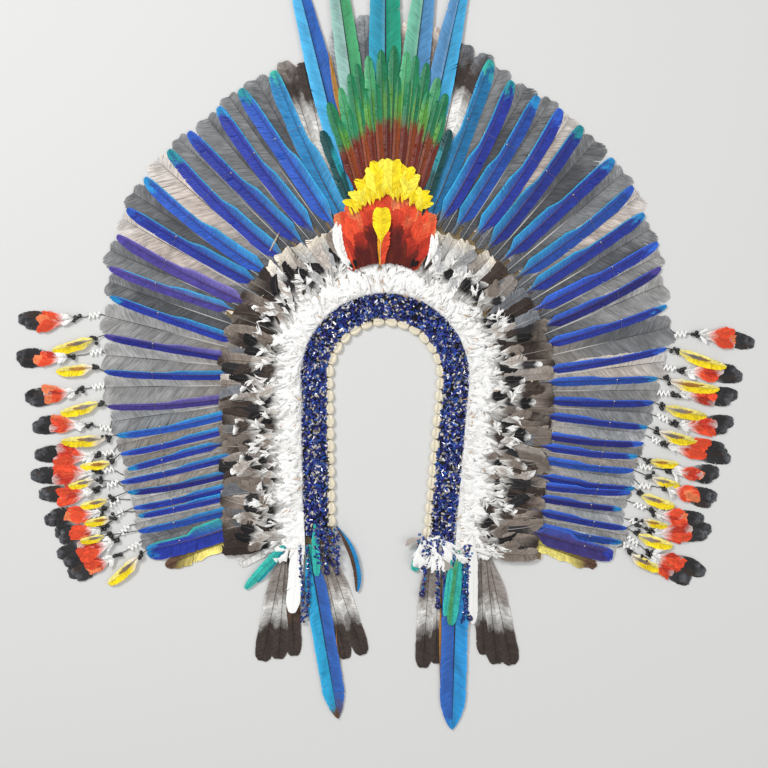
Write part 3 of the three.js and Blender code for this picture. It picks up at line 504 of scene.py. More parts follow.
def make_materials():
    """Every finish of the headdress, by its common name."""
    # Macaw flight feathers: a satin gloss with a cool sheen along the barbs.
    shaft_vane(
        "macaw_flight_feather", barb=1.9, streak=0.26, rough=0.42, sheen=0.05, bump=0.3, rim=0.25, edge=0.6)
    # Grey wing feathers: duller, with more wear, and edges that are paler partly from fraying and partly from a
    # painted highlight.
    shaft_vane(
        "grey_wing_feather", barb=2.1, streak=0.3, rough=0.55, sheen=0.08, bump=0.4, rim=0.35, mottle=0.2,
        shaft_width=0.045, shaft_dark=0.5)
    # Long tail feathers: glossier and smoother, with broad soft bands of tone.
    shaft_vane(
        "macaw_tail_feather", barb=2.2, streak=0.18, rough=0.36, sheen=0.05, bump=0.25,
        shaft_width=0.07, rim=0.45)
    # Short body feathers: soft and matt, with the barbs loose at the edge.
    shaft_vane(
        "body_feather", barb=1.6, streak=0.26, rough=0.7, sheen=0.05, bump=0.4, shaft_width=0.04,
        mottle=0.2, rim=0.3)
    # Down: barbs with nothing to hook them together, which scatter light deep into the tuft.
    tinted("loose_down", rough=0.9, sheen=0.5, spacing=2.0, depth=0.1, spread=0.03, glow=0.3)
    # Glass beads: drawn glass cut short, smooth and bright.
    tinted("drawn_glass_bead", rough=0.12, coat=0.6, spacing=2.0, depth=0.0, spread=0.2)
    # Cowrie: a polished cream shell with faint darker patches.
    tinted("cowrie_shell", rough=0.3, coat=0.3, spacing=4.0, depth=0.06, spread=0.12, glow=0.15)
    # Seeds: hard, black and polished by handling.
    tinted("polished_seed", rough=0.25, coat=0.4, spacing=1.5, depth=0.03, spread=0.25)
    # Cotton string: spun and twisted, matt and a little hairy.
    tinted("spun_cotton", rough=0.95, sheen=0.3, spacing=0.6, depth=0.25, spread=0.18)
    # A near-black sheet under the beads, seen only in the gaps between them: painted shade.
    tinted("dark_cloth", rough=0.95, sheen=0.1, spacing=0.8, depth=0.2, spread=0.3)
    plaited("woven_palm_and_cotton", "6b5434", "cdb88c", 2.4)


# ---------------------------------------------------------------- the charts of the photograph

# The fan's blue feathers from the crest down: tip and visible root on the photograph's grid, width
# in its pixels, and the colours of the leading vane, the trailing vane and the tip.
LEFT_FAN = (
    (274, 70, 340, 211, 19, "sky azure turquoise"), (241, 88, 326, 215, 17, "cyan cobalt teal"),
    (219, 106, 307, 223, 16, "cyan ultramarine azure"), (189, 131, 294, 236, 16, "cyan ultramarine cobalt"),
    (169, 149, 277, 252, 16, "cyan ultramarine teal"), (145, 177, 260, 266, 15, "cyan cobalt azure"),
    (127, 208, 250, 279, 15, "cyan ultramarine cobalt"), (117, 235, 239, 298, 15, "lilac violet violet"),
    (109, 267, 225, 307, 14, "cyan violet violet"), (110, 296, 230, 338, 14, "cyan ultramarine azure"),
    (104, 335, 226, 356, 14, "lilac indigo violet"), (104, 371, 224, 374, 13, "cyan ultramarine cobalt"),
    (107, 406, 224, 397, 13, "lilac violet violet"), (116, 435, 225, 413, 13, "cyan cobalt azure"),
    (120, 454, 225, 429, 12, "cyan ultramarine cobalt"), (127, 469, 214, 446, 12, "cyan ultramarine azure"),
    (120, 482, 228, 456, 12, "cyan ultramarine cobalt"), (127, 492, 230, 471, 12, "cyan indigo azure"),
    (133, 508, 228, 486, 12, "cyan ultramarine cobalt"), (138, 516, 227, 496, 12, "cyan ultramarine azure"),
    (138, 531, 227, 510, 13, "cyan cobalt cobalt"), (147, 550, 228, 526, 22, "turquoise ultramarine azure"),
)
RIGHT_FAN = (
    (490, 59, 434, 208, 18, "sky azure turquoise"), (511, 80, 445, 211, 16, "cyan ultramarine teal"),
    (537, 95, 462, 219, 16, "cyan cobalt azure"), (560, 108, 482, 226, 16, "cyan ultramarine cobalt"),
    (581, 125, 495, 239, 16, "cyan ultramarine teal"), (613, 158, 514, 250, 16, "cyan ultramarine azure"),
    (633, 186, 527, 269, 15, "cyan cobalt cobalt"), (644, 213, 536, 286, 15, "cyan ultramarine azure"),
    (658, 242, 544, 304, 15, "royal ultramarine cobalt"), (661, 267, 553, 321, 14, "royal indigo violet"),
    (667, 305, 553, 341, 14, "royal ultramarine azure"), (667, 348, 555, 368, 13, "royal ultramarine cobalt"),
    (658, 378, 556, 382, 13, "royal cobalt azure"), (654, 402, 555, 400, 13, "royal ultramarine cobalt"),
    (648, 427, 553, 416, 12, "royal ultramarine azure"), (644, 443, 551, 434, 12, "royal indigo cobalt"),
    (638, 456, 550, 446, 12, "royal ultramarine azure"), (634, 470, 548, 459, 12, "royal cobalt cobalt"),
    (635, 488, 549, 476, 12, "royal ultramarine azure"), (631, 492, 547, 485, 12, "royal ultramarine cobalt"),
    (622, 509, 545, 498, 12, "royal indigo azure"), (627, 528, 545, 512, 12, "royal ultramarine cobalt"),
    (622, 542, 542, 527, 13, "royal cobalt azure"), (613, 554, 542, 534, 19, "cobalt violet ultramarine"),
)
FAN = {-1: LEFT_FAN, 1: RIGHT_FAN}

# The pendants: middle of the cotton bit, root and tip of the red and black feathers.
LEFT_TASSELS = (
    (94, 315, 72, 319, 18, 323), (96, 352, 66, 358, 16, 358), (98, 386, 75, 391, 25, 400),
    (105, 428, 84, 425, 32, 424), (108, 453, 93, 456, 34, 456), (107, 470, 93, 473, 30, 474),
    (112, 484, 92, 492, 39, 499), (114, 502, 100, 513, 44, 520), (118, 515, 101, 530, 55, 536),
    (124, 530, 113, 543, 58, 560), (134, 546, 114, 558, 69, 577),
)
RIGHT_TASSELS = (
    (681, 334, 700, 334, 755, 342), (670, 368, 686, 371, 743, 374), (664, 393, 681, 394, 738, 397),
    (663, 418, 680, 425, 734, 427), (657, 441, 669, 447, 732, 453), (646, 467, 673, 471, 719, 476),
    (645, 486, 668, 488, 716, 502), (640, 506, 656, 514, 704, 521), (636, 523, 653, 534, 712, 532),
    (633, 541, 652, 554, 705, 575), (628, 548, 648, 562, 690, 582),
)
TASSELS = {-1: LEFT_TASSELS, 1: RIGHT_TASSELS}

# The yellow pendants: root and tip.
LEFT_GOLD = (
    (93, 339, 52, 350), (93, 367, 56, 371), (98, 403, 60, 413), (106, 438, 61, 441), (110, 463, 80, 466),
    (94, 480, 68, 486), (107, 500, 80, 506), (111, 518, 84, 523), (104, 536, 80, 541), (138, 557, 108, 584),
)
RIGHT_GOLD = (
    (679, 351, 727, 367), (670, 381, 720, 389), (665, 407, 707, 416), (659, 432, 699, 442),
    (650, 461, 679, 464), (652, 478, 680, 485), (641, 495, 675, 506), (643, 520, 668, 526),
    (638, 535, 673, 546), (631, 555, 662, 570),
)
GOLD = {-1: LEFT_GOLD, 1: RIGHT_GOLD}


def raised(flat, height):
    """Places in the frame from x and y and a height, one number or one for each place."""
    return np.concatenate([flat, np.broadcast_to(height, flat.shape[:-1])[..., None]], -1)


def round_about(centre, turn, reach, wide):
    """Places round a centre on the photograph's grid, `turn` radians from straight up and `reach`
    pixels out, drawn in sideways by `wide`."""
    return photo(np.stack([centre[0] + np.sin(turn) * reach * wide, centre[1] - np.cos(turn) * reach], -1))


def from_to(root, tip, extra=0.0):
    """x, y, heading and length of feathers between two lots of places in the frame, with the quill
    carried on by `extra` mm."""
    way = tip - root
    length = np.hypot(way[:, 0], way[:, 1])
    start = root - way / length[:, None] * extra
    return start[:, 0], start[:, 1], np.degrees(np.arctan2(way[:, 0], way[:, 1])), length + extra


# ---------------------------------------------------------------- the pieces


# The camera sees 998 mm of width at the object, which is the photograph's 768 pixels of 1.3 mm.
CAMERA_PLACE = (-0.0013, -0.1014, 2.357 + 0.006)
FLOOR_REACH = 4.0  # half width of the floor, in metres
MIDDLE = (0, -0.1, 0)  # the place that the lamps face
DAYLIGHT = 0.42  # strength of the even light from all round
LAMPS = (  # name, place in metres, width in metres, watts
    ("key_light", (-1.5, 1.3, 2.2), 0.9, 46),
    ("fill_light", (1.8, -0.6, 2.2), 1.6, 12),
    ("top_light", (0.0, 0.0, 3.2), 2.0, 18),
)


def make_stage(scene):
    """Makes the camera, the floor and the lights."""
    camera = bpy.data.cameras.new("camera")
    camera.lens, camera.sensor_width = 85, 36
    seen = bpy.data.objects.new("camera", camera)
    seen.location = CAMERA_PLACE
    scene.collection.objects.link(seen)
    scene.camera = seen
    floor = bpy.data.meshes.new("floor")
    corners = [(x * FLOOR_REACH, y * FLOOR_REACH, 0) for x, y in ((-1, -1), (1, -1), (1, 1), (-1, 1))]
    floor.from_pydata(corners, [], [(0, 1, 2, 3)])
    tree = blank("painted_board")
    coords = add(tree, "TexCoord", out="Object")
    grain = add(tree, "TexNoise", {"Vector": coords, "Scale": 500.0})
    base = np.array(scene.headdress_colours.floor)
    tones = {0: grain, 6: (*base * 0.98, 1), 7: (*base, 1)}
    finish(tree, {"Base Color": add(tree, "Mix", tones, 2, data_type="RGBA"), "Roughness": 0.9})
    floor.materials.append(bpy.data.materials["painted_board"])
    laid = bpy.data.objects.new("floor", floor)
    scene.collection.objects.link(laid)
    for name, place, size, power in LAMPS:
        light = bpy.data.lights.new(name, "AREA")
        light.shape, light.size, light.energy = "DISK", size, power
        lamp = bpy.data.objects.new(name, light)
        lamp.location = place
        way = np.array(place) - MIDDLE
        flat = np.hypot(way[0], way[1])
        lamp.rotation_euler = (np.arctan2(flat, way[2]), 0, np.arctan2(way[0], -way[1]))
        scene.collection.objects.link(lamp)
    world = bpy.data.worlds.new("studio")
    world.use_nodes = True
    for i, value in enumerate(((1, 1, 1, 1), DAYLIGHT)):
        world.node_tree.nodes["Background"].inputs[i].default_value = value
    scene.world = world
    scene.view_settings.view_transform = "Standard"


def make_band():
    """Makes the woven band that carries everything, with its bound edges."""
    lots = []
    runs = {side: np.linspace(0, end_run(side) + 18, 70) for side, _ in SIDES}
    line = [(side, run) for side, _ in SIDES for run in (runs[side][::-1] if side < 0 else runs[side][1:])]
    sides, along = np.array([s for s, _ in line]), np.array([r for _, r in line])
    # A ring goes outwards over the top, whose edges are worn down, and back underneath.
    places = 16
    outwards = np.linspace(*BAND_EDGES, places)
    offsets = np.concatenate([outwards, np.linspace(*BAND_EDGES[::-1], places)])
    height = np.repeat([BAND_TOP, BAND_UNDER], places)
    height[[0, places - 1]] -= 0.6
    rings = np.empty((len(line), len(offsets), 3))
    for side, _ in SIDES:
        here = sides == side
        x, y, _ = arch(side, along[here][:, None], offsets[None])
        rings[here] = np.stack([x, y, np.broadcast_to(height, x.shape)], -1)
    lots.append(strip(rings, [0.4] * 3, True))
    for offset in BAND_CORDS:
        path = np.empty((len(line), 3))
        for side, _ in SIDES:
            here = sides == side
            x, y, _ = arch(side, along[here], offset)
            path[here] = np.stack([x, y, np.full(len(x), 1.3)], -1)
        lots.append(tubes(path, 1.1, 6, "cream", 1))
    piece("backing_weave", "backing_band", "woven_palm_and_cotton spun_cotton", lots)


def make_shells(scene):
    """Makes the cowries of the inner edge."""
    # A cowrie lies on its back: a low dome, egg-shaped in plan, with a toothed slit along its top.
    rows, around = 13, 24
    t = np.linspace(-1, 1, rows)
    angle = -np.arange(around) * 2 * np.pi / around
    plan = np.sqrt(np.clip(1 - t**2, 0.0015, 1)) * (1 + 0.14 * t)
    ring_y = np.cos(angle)[None] * plan[:, None]
    ring_z = np.sin(angle)[None] * plan[:, None] ** 0.8
    top = np.clip(ring_z, 0, 1)
    slit = np.exp(-((ring_y / 0.19) ** 2)) * smooth((0.86 - np.abs(t))[:, None] * 5) * (ring_z > 0)
    teeth = 0.5 + 0.5 * np.cos(t * 34)[:, None]
    lip = np.exp(-(((np.abs(ring_y) - 0.3) / 0.16) ** 2)) * (ring_z > 0)
    z = np.where(ring_z > 0, 0.9 * top**0.8 - 0.65 * slit + 0.05 * lip * teeth, ring_z * 0.25)
    length = scene.headdress_sizes.cowrie_length * METRE
    long = np.broadcast_to(t[:, None], z.shape) * length / 2
    shape = np.stack([long, ring_y * 6.2, z * 3.9], -1).reshape(-1, 3)
    # Painted shade: the slit and the gaps between the teeth beside it are darkened, as shade falls in them.
    dark = np.clip(slit + 0.12 * lip * (teeth < 0.5) * (np.abs(t)[:, None] < 0.8), 0, 1).reshape(-1, 1)
    quads, ends = stitch(1, rows, around)
    rng = np.random.default_rng(scene.headdress_sizes.seed)
    places, frames = [], []
    pitch = length * 1.01
    for side, _ in SIDES:
        arc = np.radians(ARC_TURN[side]) * (ARCH_RADIUS - COWRIE_LINE)
        distance = np.arange(pitch / 2, arc + ARM_LENGTH, pitch)
        run = np.where(
            distance < arc, distance * ARCH_RADIUS / (ARCH_RADIUS - COWRIE_LINE),
            distance - arc + arc_run(side))
        x, y, heading = arch(side, run, -COWRIE_LINE)
        turn = np.radians(heading + rng.uniform(-6, 6, len(x)))
        places.append(np.stack([x, y, np.full(len(x), 3.1)], -1))
        along = np.stack([np.cos(turn), -np.sin(turn), 0 * turn], -1) * side
        up = np.stack([0 * turn, 0 * turn, 0 * turn + 1], -1)
        frames.append(np.stack([along, np.cross(up, along), up], -1))
    places, frames = np.concatenate(places), np.concatenate(frames)
    frames = frames * rng.uniform(0.94, 1.04, (len(places), 1, 1))
    shell = np.array(scene.headdress_colours.shell)
    tint = shell * rng.uniform(0.85, 1.1, (len(places), 1))
    lot = scatter(shape, quads[:, ::-1], ends[:, ::-1], places, frames, tint)
    # The slit and the gaps between its teeth darkened: painted shade.
    lot["paint"]["lead"] *= 1 - 0.8 * np.tile(dark, (len(places), 1))
    thread = []
    for side, _ in SIDES:
        x, y, _ = arch(side, np.linspace(0, end_run(side), 60), -SHELL_THREAD)
        thread.append(np.stack([x, y, np.full(60, 4.4)], -1))
    string = tubes(np.array(thread), 0.7, 5, "cream", 1)
    piece("cowries", "cowrie_edging", "cowrie_shell spun_cotton", [lot, string], 70)


def make_beads(sizes):
    """Makes the heaped bugle beads of the band and a near-black sheet of painted shade under them."""
    rng = np.random.default_rng(sizes.seed + 1)
    long = sizes.bead_length * METRE / 2
    bugle = turned([(-long, 1.15), (long, 1.15)], 6)
    lots = []
    for side, _ in SIDES:
        count = BEADS_A_SIDE
        run = rng.uniform(0, end_run(side) + 9, count)
        across = rng.uniform(-1, 1, count) * (BEAD_HALF + 0.9)
        x, y, _ = arch(side, run, across)
        dome = CLOTH_LEVEL + 4.0 * np.sqrt(np.clip(1 - (across / (BEAD_HALF + 2)) ** 2, 0, 1))
        z = dome + rng.uniform(0, 2.4, count)
        # The white and cream beads are partly real pale beads and thread, partly painted glints of light on the
        # glass.
        kinds = "indigo ultramarine cobalt ultramarine cream denim black indigo white indigo royal".split()
        picked = inks([kinds[k] for k in rng.integers(0, len(kinds), count)], count)
        tint = picked * rng.uniform(0.3, 1.0, (count, 1)) ** 1.2
        frames = any_way(count, 0.6, rng) * rng.uniform(0.8, 1.2, (count, 1, 1))
        lots.append(scatter(*bugle, np.stack([x, y, z], -1), frames, tint))
        # A near-black sheet under the beads: painted shade in the gaps between them.
        runs = np.linspace(0, end_run(side), 60)
        share = np.concatenate([np.linspace(-1, 1, 12), [0.5, -0.5]])
        bx, by, _ = arch(side, runs[:, None], share[None] * BEAD_HALF)
        bz = CLOTH_LEVEL + 3.6 * np.sqrt(np.clip(1 - share**2, 0, 1))
        bz[12:] = CLOTH_LEVEL
        rings = np.stack([bx, by, np.broadcast_to(bz, bx.shape)], -1)
        lots.append(strip(rings, [0.01] * 3, side > 0, 1))
    piece("bugle_beads", "bead_field", "drawn_glass_bead dark_cloth", lots)


def make_down(side, label, sizes, rng):
    """One side of the white ruff: small curled down feathers and loose barbs on a lumpy base."""
    count = DOWN_A_SIDE
    run = rng.uniform(0, end_run(side) + 22, count)
    share = rng.uniform(0, 1, count) ** 0.9
    reach = 16.5 + share * (32.5 + 5 * np.sin(run * 0.13) + 4 * np.sin(run * 0.31 + 2))
    x, y, heading = arch(side, run, reach)
    length = sizes.down_length * METRE * rng.uniform(0.6, 1.25, count)
    turn = heading + side * np.clip(rng.normal(8, 34, count), -62, 62)
    low = 12.2 - share * 7.5 + rng.uniform(-1.6, 1.6, count)
    lots = [feathers(
        x, y, turn, length, rows=8, cuts=1, build="light", seed=sizes.seed + 20 + side,
        paint="white | | | | white", shade=0.03, lead=length * rng.uniform(0.16, 0.34, count),
        trail=length * rng.uniform(0.16, 0.34, count), low=low, drop=rng.uniform(0, 5, count),
        rise=rng.uniform(0.5, 2.5, count), bow=rng.normal(0, 0.12, count), hook=rng.normal(0, 0.2, count),
        camber=1.6, fill=0.4, tip=0.5, blunt=1.6, ragged=0.35, split=0.7, slant=0.9, quill=0.3)]
    # Single loose barbs, the first few of them thicker and tan.
    loose = BARBS_A_SIDE
    run = rng.uniform(0, end_run(side) + 26, loose)
    share = rng.uniform(0, 1, loose)
    reach = 14 + share * (42 + 5 * np.sin(run * 0.13) + 4 * np.sin(run * 0.31 + 2))
    x, y, heading = arch(side, run, reach)
    turn = np.radians(heading + side * rng.normal(5, 45, loose))
    t = np.linspace(0, 1, 4)[None]
    long = rng.uniform(6, 15, loose)[:, None]
    curl = rng.normal(0, 0.35, loose)[:, None]
    fx, fy = np.sin(turn)[:, None], np.cos(turn)[:, None]
    px = x[:, None] + long * (t * fx + curl * t * t * fy)
    py = y[:, None] + long * (t * fy - curl * t * t * fx)
    pz = (13.2 - share * 8 + rng.uniform(-1, 1, loose))[:, None] + 2.2 * np.sin(t * 2.6) - 2.0 * t
    path = np.stack([px, py, np.maximum(pz, 0.8)], -1)
    lots.append(tubes(path[TAN_BARBS:], 0.34 * (1 - 0.8 * t), 3, "white"))
    lots.append(tubes(path[:TAN_BARBS, :3], 0.85 * (1 - 0.6 * t[:, :3]), 5, "sand"))
    runs = np.linspace(0, end_run(side) + 16, 100)
    share = np.concatenate([np.linspace(0, 1, 16), [0.7, 0.3]])
    lump = 1.2 * np.sin(runs[:, None] * 0.42 + share[None] * 9)
    lump += np.sin(runs[:, None] * 0.9 - share[None] * 14)
    width = 31 + 3 * np.sin(runs * 0.2)
    bx, by, _ = arch(side, runs[:, None], 15.8 + share[None] * width[:, None])
    bz = DOWN_LEVEL + 7.5 * np.sqrt(np.clip(1 - share**2.2, 0, 1))[None] + lump * (share[None] < 0.98)
    bz[:, 0] = bz[:, 16:] = DOWN_LEVEL
    rings = np.stack([bx, by, np.maximum(bz, 2.9)], -1)
    lots.append(strip(rings, INK["white"], side > 0))
    piece(f"down_{label}", "down_ruff", "loose_down", lots, 80)


def make_coverts(side, label, sizes):
    """The short brown, black and grey feathers round one side of the ruff."""
    rng = np.random.default_rng(sizes.seed + 30 + side)
    lots = []
    start = np.radians(17) * ARCH_RADIUS
    stop = end_run(side) + 14
    count = 50
    run = np.linspace(start, stop, count)
    x, y, heading = arch(side, run, 60)
    crest = smooth(1 - (run - start) / 85)
    dark = "taupe brown brown taupe slate taupe charcoal brown stone ash".split()
    colours, tips = [], []
    for c in crest:
        if c > 0.4:
            colours.append("ash" if rng.random() < 0.6 else "pearl")
        else:
            colours.append(dark[rng.integers(0, len(dark))])
    for c, ink in zip(crest, colours):
        other = "brown" if ink == "taupe" else "taupe"
        tips.append("cream" if c > 0.4 else ink if rng.random() < 0.35 else other)
    length = 56 + (5 if side < 0 else 9) * (1 - crest) + rng.uniform(-3, 4, count) - 9 * crest
    lots.append(feathers(
        x, y, heading + rng.uniform(-9, 9, count), length, rows=14, cuts=3, seed=sizes.seed + 31 + side,
        paint={"lead": colours, "tip": tips, "shaft": "pearl umber taupe"}, lead=rng.uniform(8, 12, count),
        trail=rng.uniform(8, 12, count), side=-side, low=9.0 + 1.2 * rng.random(count), drop=2.6, tilt=1.0,
        fill=0.3, base=0.4, tip=np.where(crest > 0.4, 0.88, 0.72), blunt=np.where(crest > 0.4, 3.4, 2.1),
        ragged=0.06, split=0.5, fray=0.5, gape=0.7, tip_from=0.8, blend=0.3, camber=1.6, quill=0.7, shade=0.3,
        hook=rng.normal(0, 0.1, count)))
    count = 92
    run = np.linspace(start * 1.1, stop, count) + rng.uniform(-4, 4, count)
    x, y, heading = arch(side, run, 42 + rng.uniform(-4, 30, count))
    crest = smooth(1 - (run - start) / 75)
    mixed = "black charcoal brown taupe black ash".split()
    colours = ["dove" if c > 0.5 and rng.random() < 0.6 else mixed[rng.integers(0, 6)] for c in crest]
    tips = [("white" if rng.random() < 0.35 else ink) for ink in colours]
    length = rng.uniform(24, 44, count)
    lots.append(feathers(
        x, y, heading + rng.normal(0, 20, count), length, rows=12, cuts=3, build="light",
        seed=sizes.seed + 33 + side, paint={"lead": colours, "tip": tips, "root": "pearl", "shaft": "taupe"},
        lead=rng.uniform(5, 9, count), trail=rng.uniform(5, 9, count), low=11.4, drop=2.6, rise=1.4, fill=0.35,
        base=0.3, tip=0.6, blunt=2.0, ragged=0.14, split=0.6, tip_from=0.84, root_to=0.28, blend=0.25,
        hook=rng.normal(0, 0.18, count), camber=1.6, quill=0.4, shade=0.3, fray=0.6, gape=0.7))
    # Small white tufts that lie over the dark feathers, each a fan of a few narrow blades.
    tufts, blades = 44, 6
    run = np.repeat(rng.uniform(start * 0.8, stop, tufts), blades)
    x, y, heading = arch(side, run, np.repeat(rng.uniform(44, 76, tufts), blades))
    turn = heading + np.repeat(rng.normal(0, 26, tufts), blades) + rng.uniform(-26, 26, tufts * blades)
    length = rng.uniform(9, 20, tufts * blades)
    lots.append(feathers(
        x, y, turn, length, rows=7, cuts=0, build="light", seed=sizes.seed + 35 + side,
        paint="white | | | | white", lead=length * 0.13, trail=length * 0.13, low=13.2, drop=3.0, rise=2.0,
        fill=0.5, tip=0.4, blunt=1.4, ragged=0.4, split=0.7,
        hook=rng.normal(0, 0.3, tufts * blades), quill=0.2))
    piece(f"short_feathers_{label}", f"covert_row_{label}", "body_feather", lots)


def fan_lines(side, extra=24.0):
    """Roots and tips of one side's blue feathers in the frame, and their x, y, heading and length."""
    chart = np.array([row[:5] for row in FAN[side]], float)
    tips, roots = photo(chart[:, :2]), photo(chart[:, 2:4])
    return roots, tips, from_to(roots, tips, extra)


def make_fan(side, label, sizes):
    """One side of the fan: its blue and grey flight feathers, bound at their quills."""
    rng = np.random.default_rng(sizes.seed + 40 + side)
    roots, tips, (x, y, heading, length) = fan_lines(side)
    count = len(tips)
    width = np.array([row[4] for row in FAN[side]]) * PIXEL * sizes.blue_width
    leads, trails, ends = zip(*(row[5].split() for row in FAN[side]))
    share = np.arange(count) / count
    inside = (np.arange(count) > 0) & (np.arange(count) < count - 1)
    width = width * np.where(inside, 1.08 - 0.38 * smooth((share - 0.22) * 4), 1.06)
    blue = feathers(
        x, y, heading, length, rows=30, cuts=5, seed=sizes.seed + 41 + side,
        paint={"lead": leads, "trail": inks(trails, count) * (0.82 if side < 0 else 0.62), "tip": ends,
        "root": "slate", "shaft": "umber"}, side=-side, lead=width * 0.52, trail=width * 0.52,
        low=6.2 + 0.5 * (np.arange(count) % 2), drop=3.0, tilt=0.9, notch=0.42, narrow=0.55, bare=16 / length,
        fill=8 / length, base=0.25, tip=0.8, blunt=2.1, ragged=0.03, split=0.35, tip_from=0.92,
        root_to=14 / length, blend=0.06, camber=1.0, quill=1.1, fray=0.7, bow=rng.normal(0, 0.012, count)
        + 0.014 * side, shade=0.14)
    bits = [blue]
    if side < 0:
        # Two amber feathers that show at the blue ones' roots.
        spots = photo([(272, 247), (280, 231), (252, 322), (226, 310)])
        bits.append(feathers(
            *from_to(spots[::2], spots[1::2], 6), rows=14, cuts=3, seed=sizes.seed + 47,
            paint="amber | cream | straw | | amber", lead=[1.6, 4.5], trail=[1.4, 4], low=7.2, drop=0.8,
            fill=0.3, base=0.3, tip=0.4, blunt=1.3, ragged=0.2, split=0.6))
    run = np.linspace(np.radians(10) * ARCH_RADIUS, end_run(side) - 4, 90)
    cx, cy, _ = arch(side, run, FAN_ROOT)
    wrap = np.stack([cx, cy, FAN_CORD + 0.3 * np.sin(run * 2.2)], -1)
    # The spacer thread runs through the shafts, with a small stitch on each.
    at = roots + (tips - roots) * 0.6
    order = np.stack([at[:, 0], at[:, 1], np.full(count, 5.6)], -1)
    fine = np.linspace(0, count - 1, count * 4)
    low = np.floor(fine).astype(int).clip(0, count - 2)
    part = (fine - low)[:, None]
    thread = order[low] * (1 - part) + order[low + 1] * part
    thread[:, 2] += 0.5 * np.cos(fine * 2 * np.pi)
    knots = turned([(-1.0, 0.15), (-0.6, 0.55), (0.6, 0.55), (1.0, 0.15)], 6)
    turn = np.radians(heading)
    ahead = np.stack([np.sin(turn), np.cos(turn), 0 * turn], -1)
    up = np.tile([0.0, 0, 1], (count, 1))
    axes = np.stack([ahead, np.cross(up, ahead), up], -1)
    bits.append(tubes(wrap, 1.1, 6, "cream", 1))
    bits.append(tubes(thread, 0.16, 5, "taupe", 1))
    bits.append(scatter(*knots, order + (0, 0, 0.9), axes, inks("cream", count), 1))
    piece(
        f"blue_fan_{label}", f"fan_blue_{label}",
        "macaw_flight_feather spun_cotton", bits)
    # A grey feather between each two blue ones, and one more below the last.
    mid_tips = (tips[:-1] + tips[1:]) / 2
    mid_roots = (roots[:-1] + roots[1:]) / 2
    gx, gy, gh, gl = from_to(mid_roots, mid_tips, 26.0)
    gl = gl + rng.uniform(-3, 4, len(gl))
    total = len(gl)
    share = np.arange(total) / total
    # Each grey feather fills the room between its blue neighbours' tips.
    room = np.hypot(*(tips[1:] - tips[:-1]).T)
    wide = np.clip(room * 0.94, sizes.grey_width * METRE, 42)
    upper, arm = ("grey", "slate", "grey", "slate", "dove"), ("dove", "grey", "ash", "dove", "grey")
    inked = [(upper if i < total * 0.4 else arm)[k] for i, k in enumerate(rng.integers(0, 5, total))]
    for i in ((4, 6) if side < 0 else (3, 6)):
        inked[i] = "rose"
    ends = [("pearl" if ink in ("rose", "dove") else "dove") for ink in inked]
    lead_ink = [("slate" if i % 3 else "grey") if ink == "grey" else ink for i, ink in enumerate(inked)]
    tone = np.where(share < 0.45, 0.6, 0.66 if side < 0 else 0.54 + 0.22 * (np.arange(total) % 3))
    tone = np.where(np.array(inked) == "rose", 0.95, tone)[:, None]
    grey = feathers(
        gx, gy, gh + rng.uniform(-1, 1, total), gl, rows=28, cuts=10, seed=sizes.seed + 43 + side,
        paint={"lead": inks(lead_ink, total) * tone * 1.15, "trail": inks(inked, total) * tone,
        "tip": inks(ends, total) * tone, "root": inks(["slate" if f < 0.4 else "ash" for f in share], total)
        * tone, "shaft": "pearl"}, side=-side, lead=wide * 0.46, trail=wide * 0.58, low=3.9, drop=2.6, tilt=0.7,
        fill=0.3, base=0.35, tip=0.84, blunt=2.2, ragged=0.05, split=0.42, tip_from=0.93, root_to=0.3,
        blend=0.4, camber=1.0, quill=0.9, shade=0.14, fray=0.35, gape=0.8, slant=0.75)
    # The grey quills' binding lies under the blue ones'.
    cord = tubes(wrap - (0, 0, FAN_CORD - GREY_CORD), 1.2, 6, "cream", 1)
    last = photo([(165, 566), (228, 541)] if side < 0 else [(597, 566), (541, 545)])
    under = feathers(
        *from_to(last[1:], last[:1], 22.0), rows=20, cuts=4, seed=sizes.seed + 45 + side,
        paint="straw | olive | umber | straw | umber", side=side, lead=12, trail=11, low=2.4, drop=1.0,
        fill=0.2, base=0.5, tip=0.6, tip_from=0.7, root_to=0.3, blend=0.3, ragged=0.15, split=0.6, fray=0.6)
    piece(
        f"grey_fan_{label}", f"fan_grey_{label}", "grey_wing_feather spun_cotton",
        [grey, under, cord])


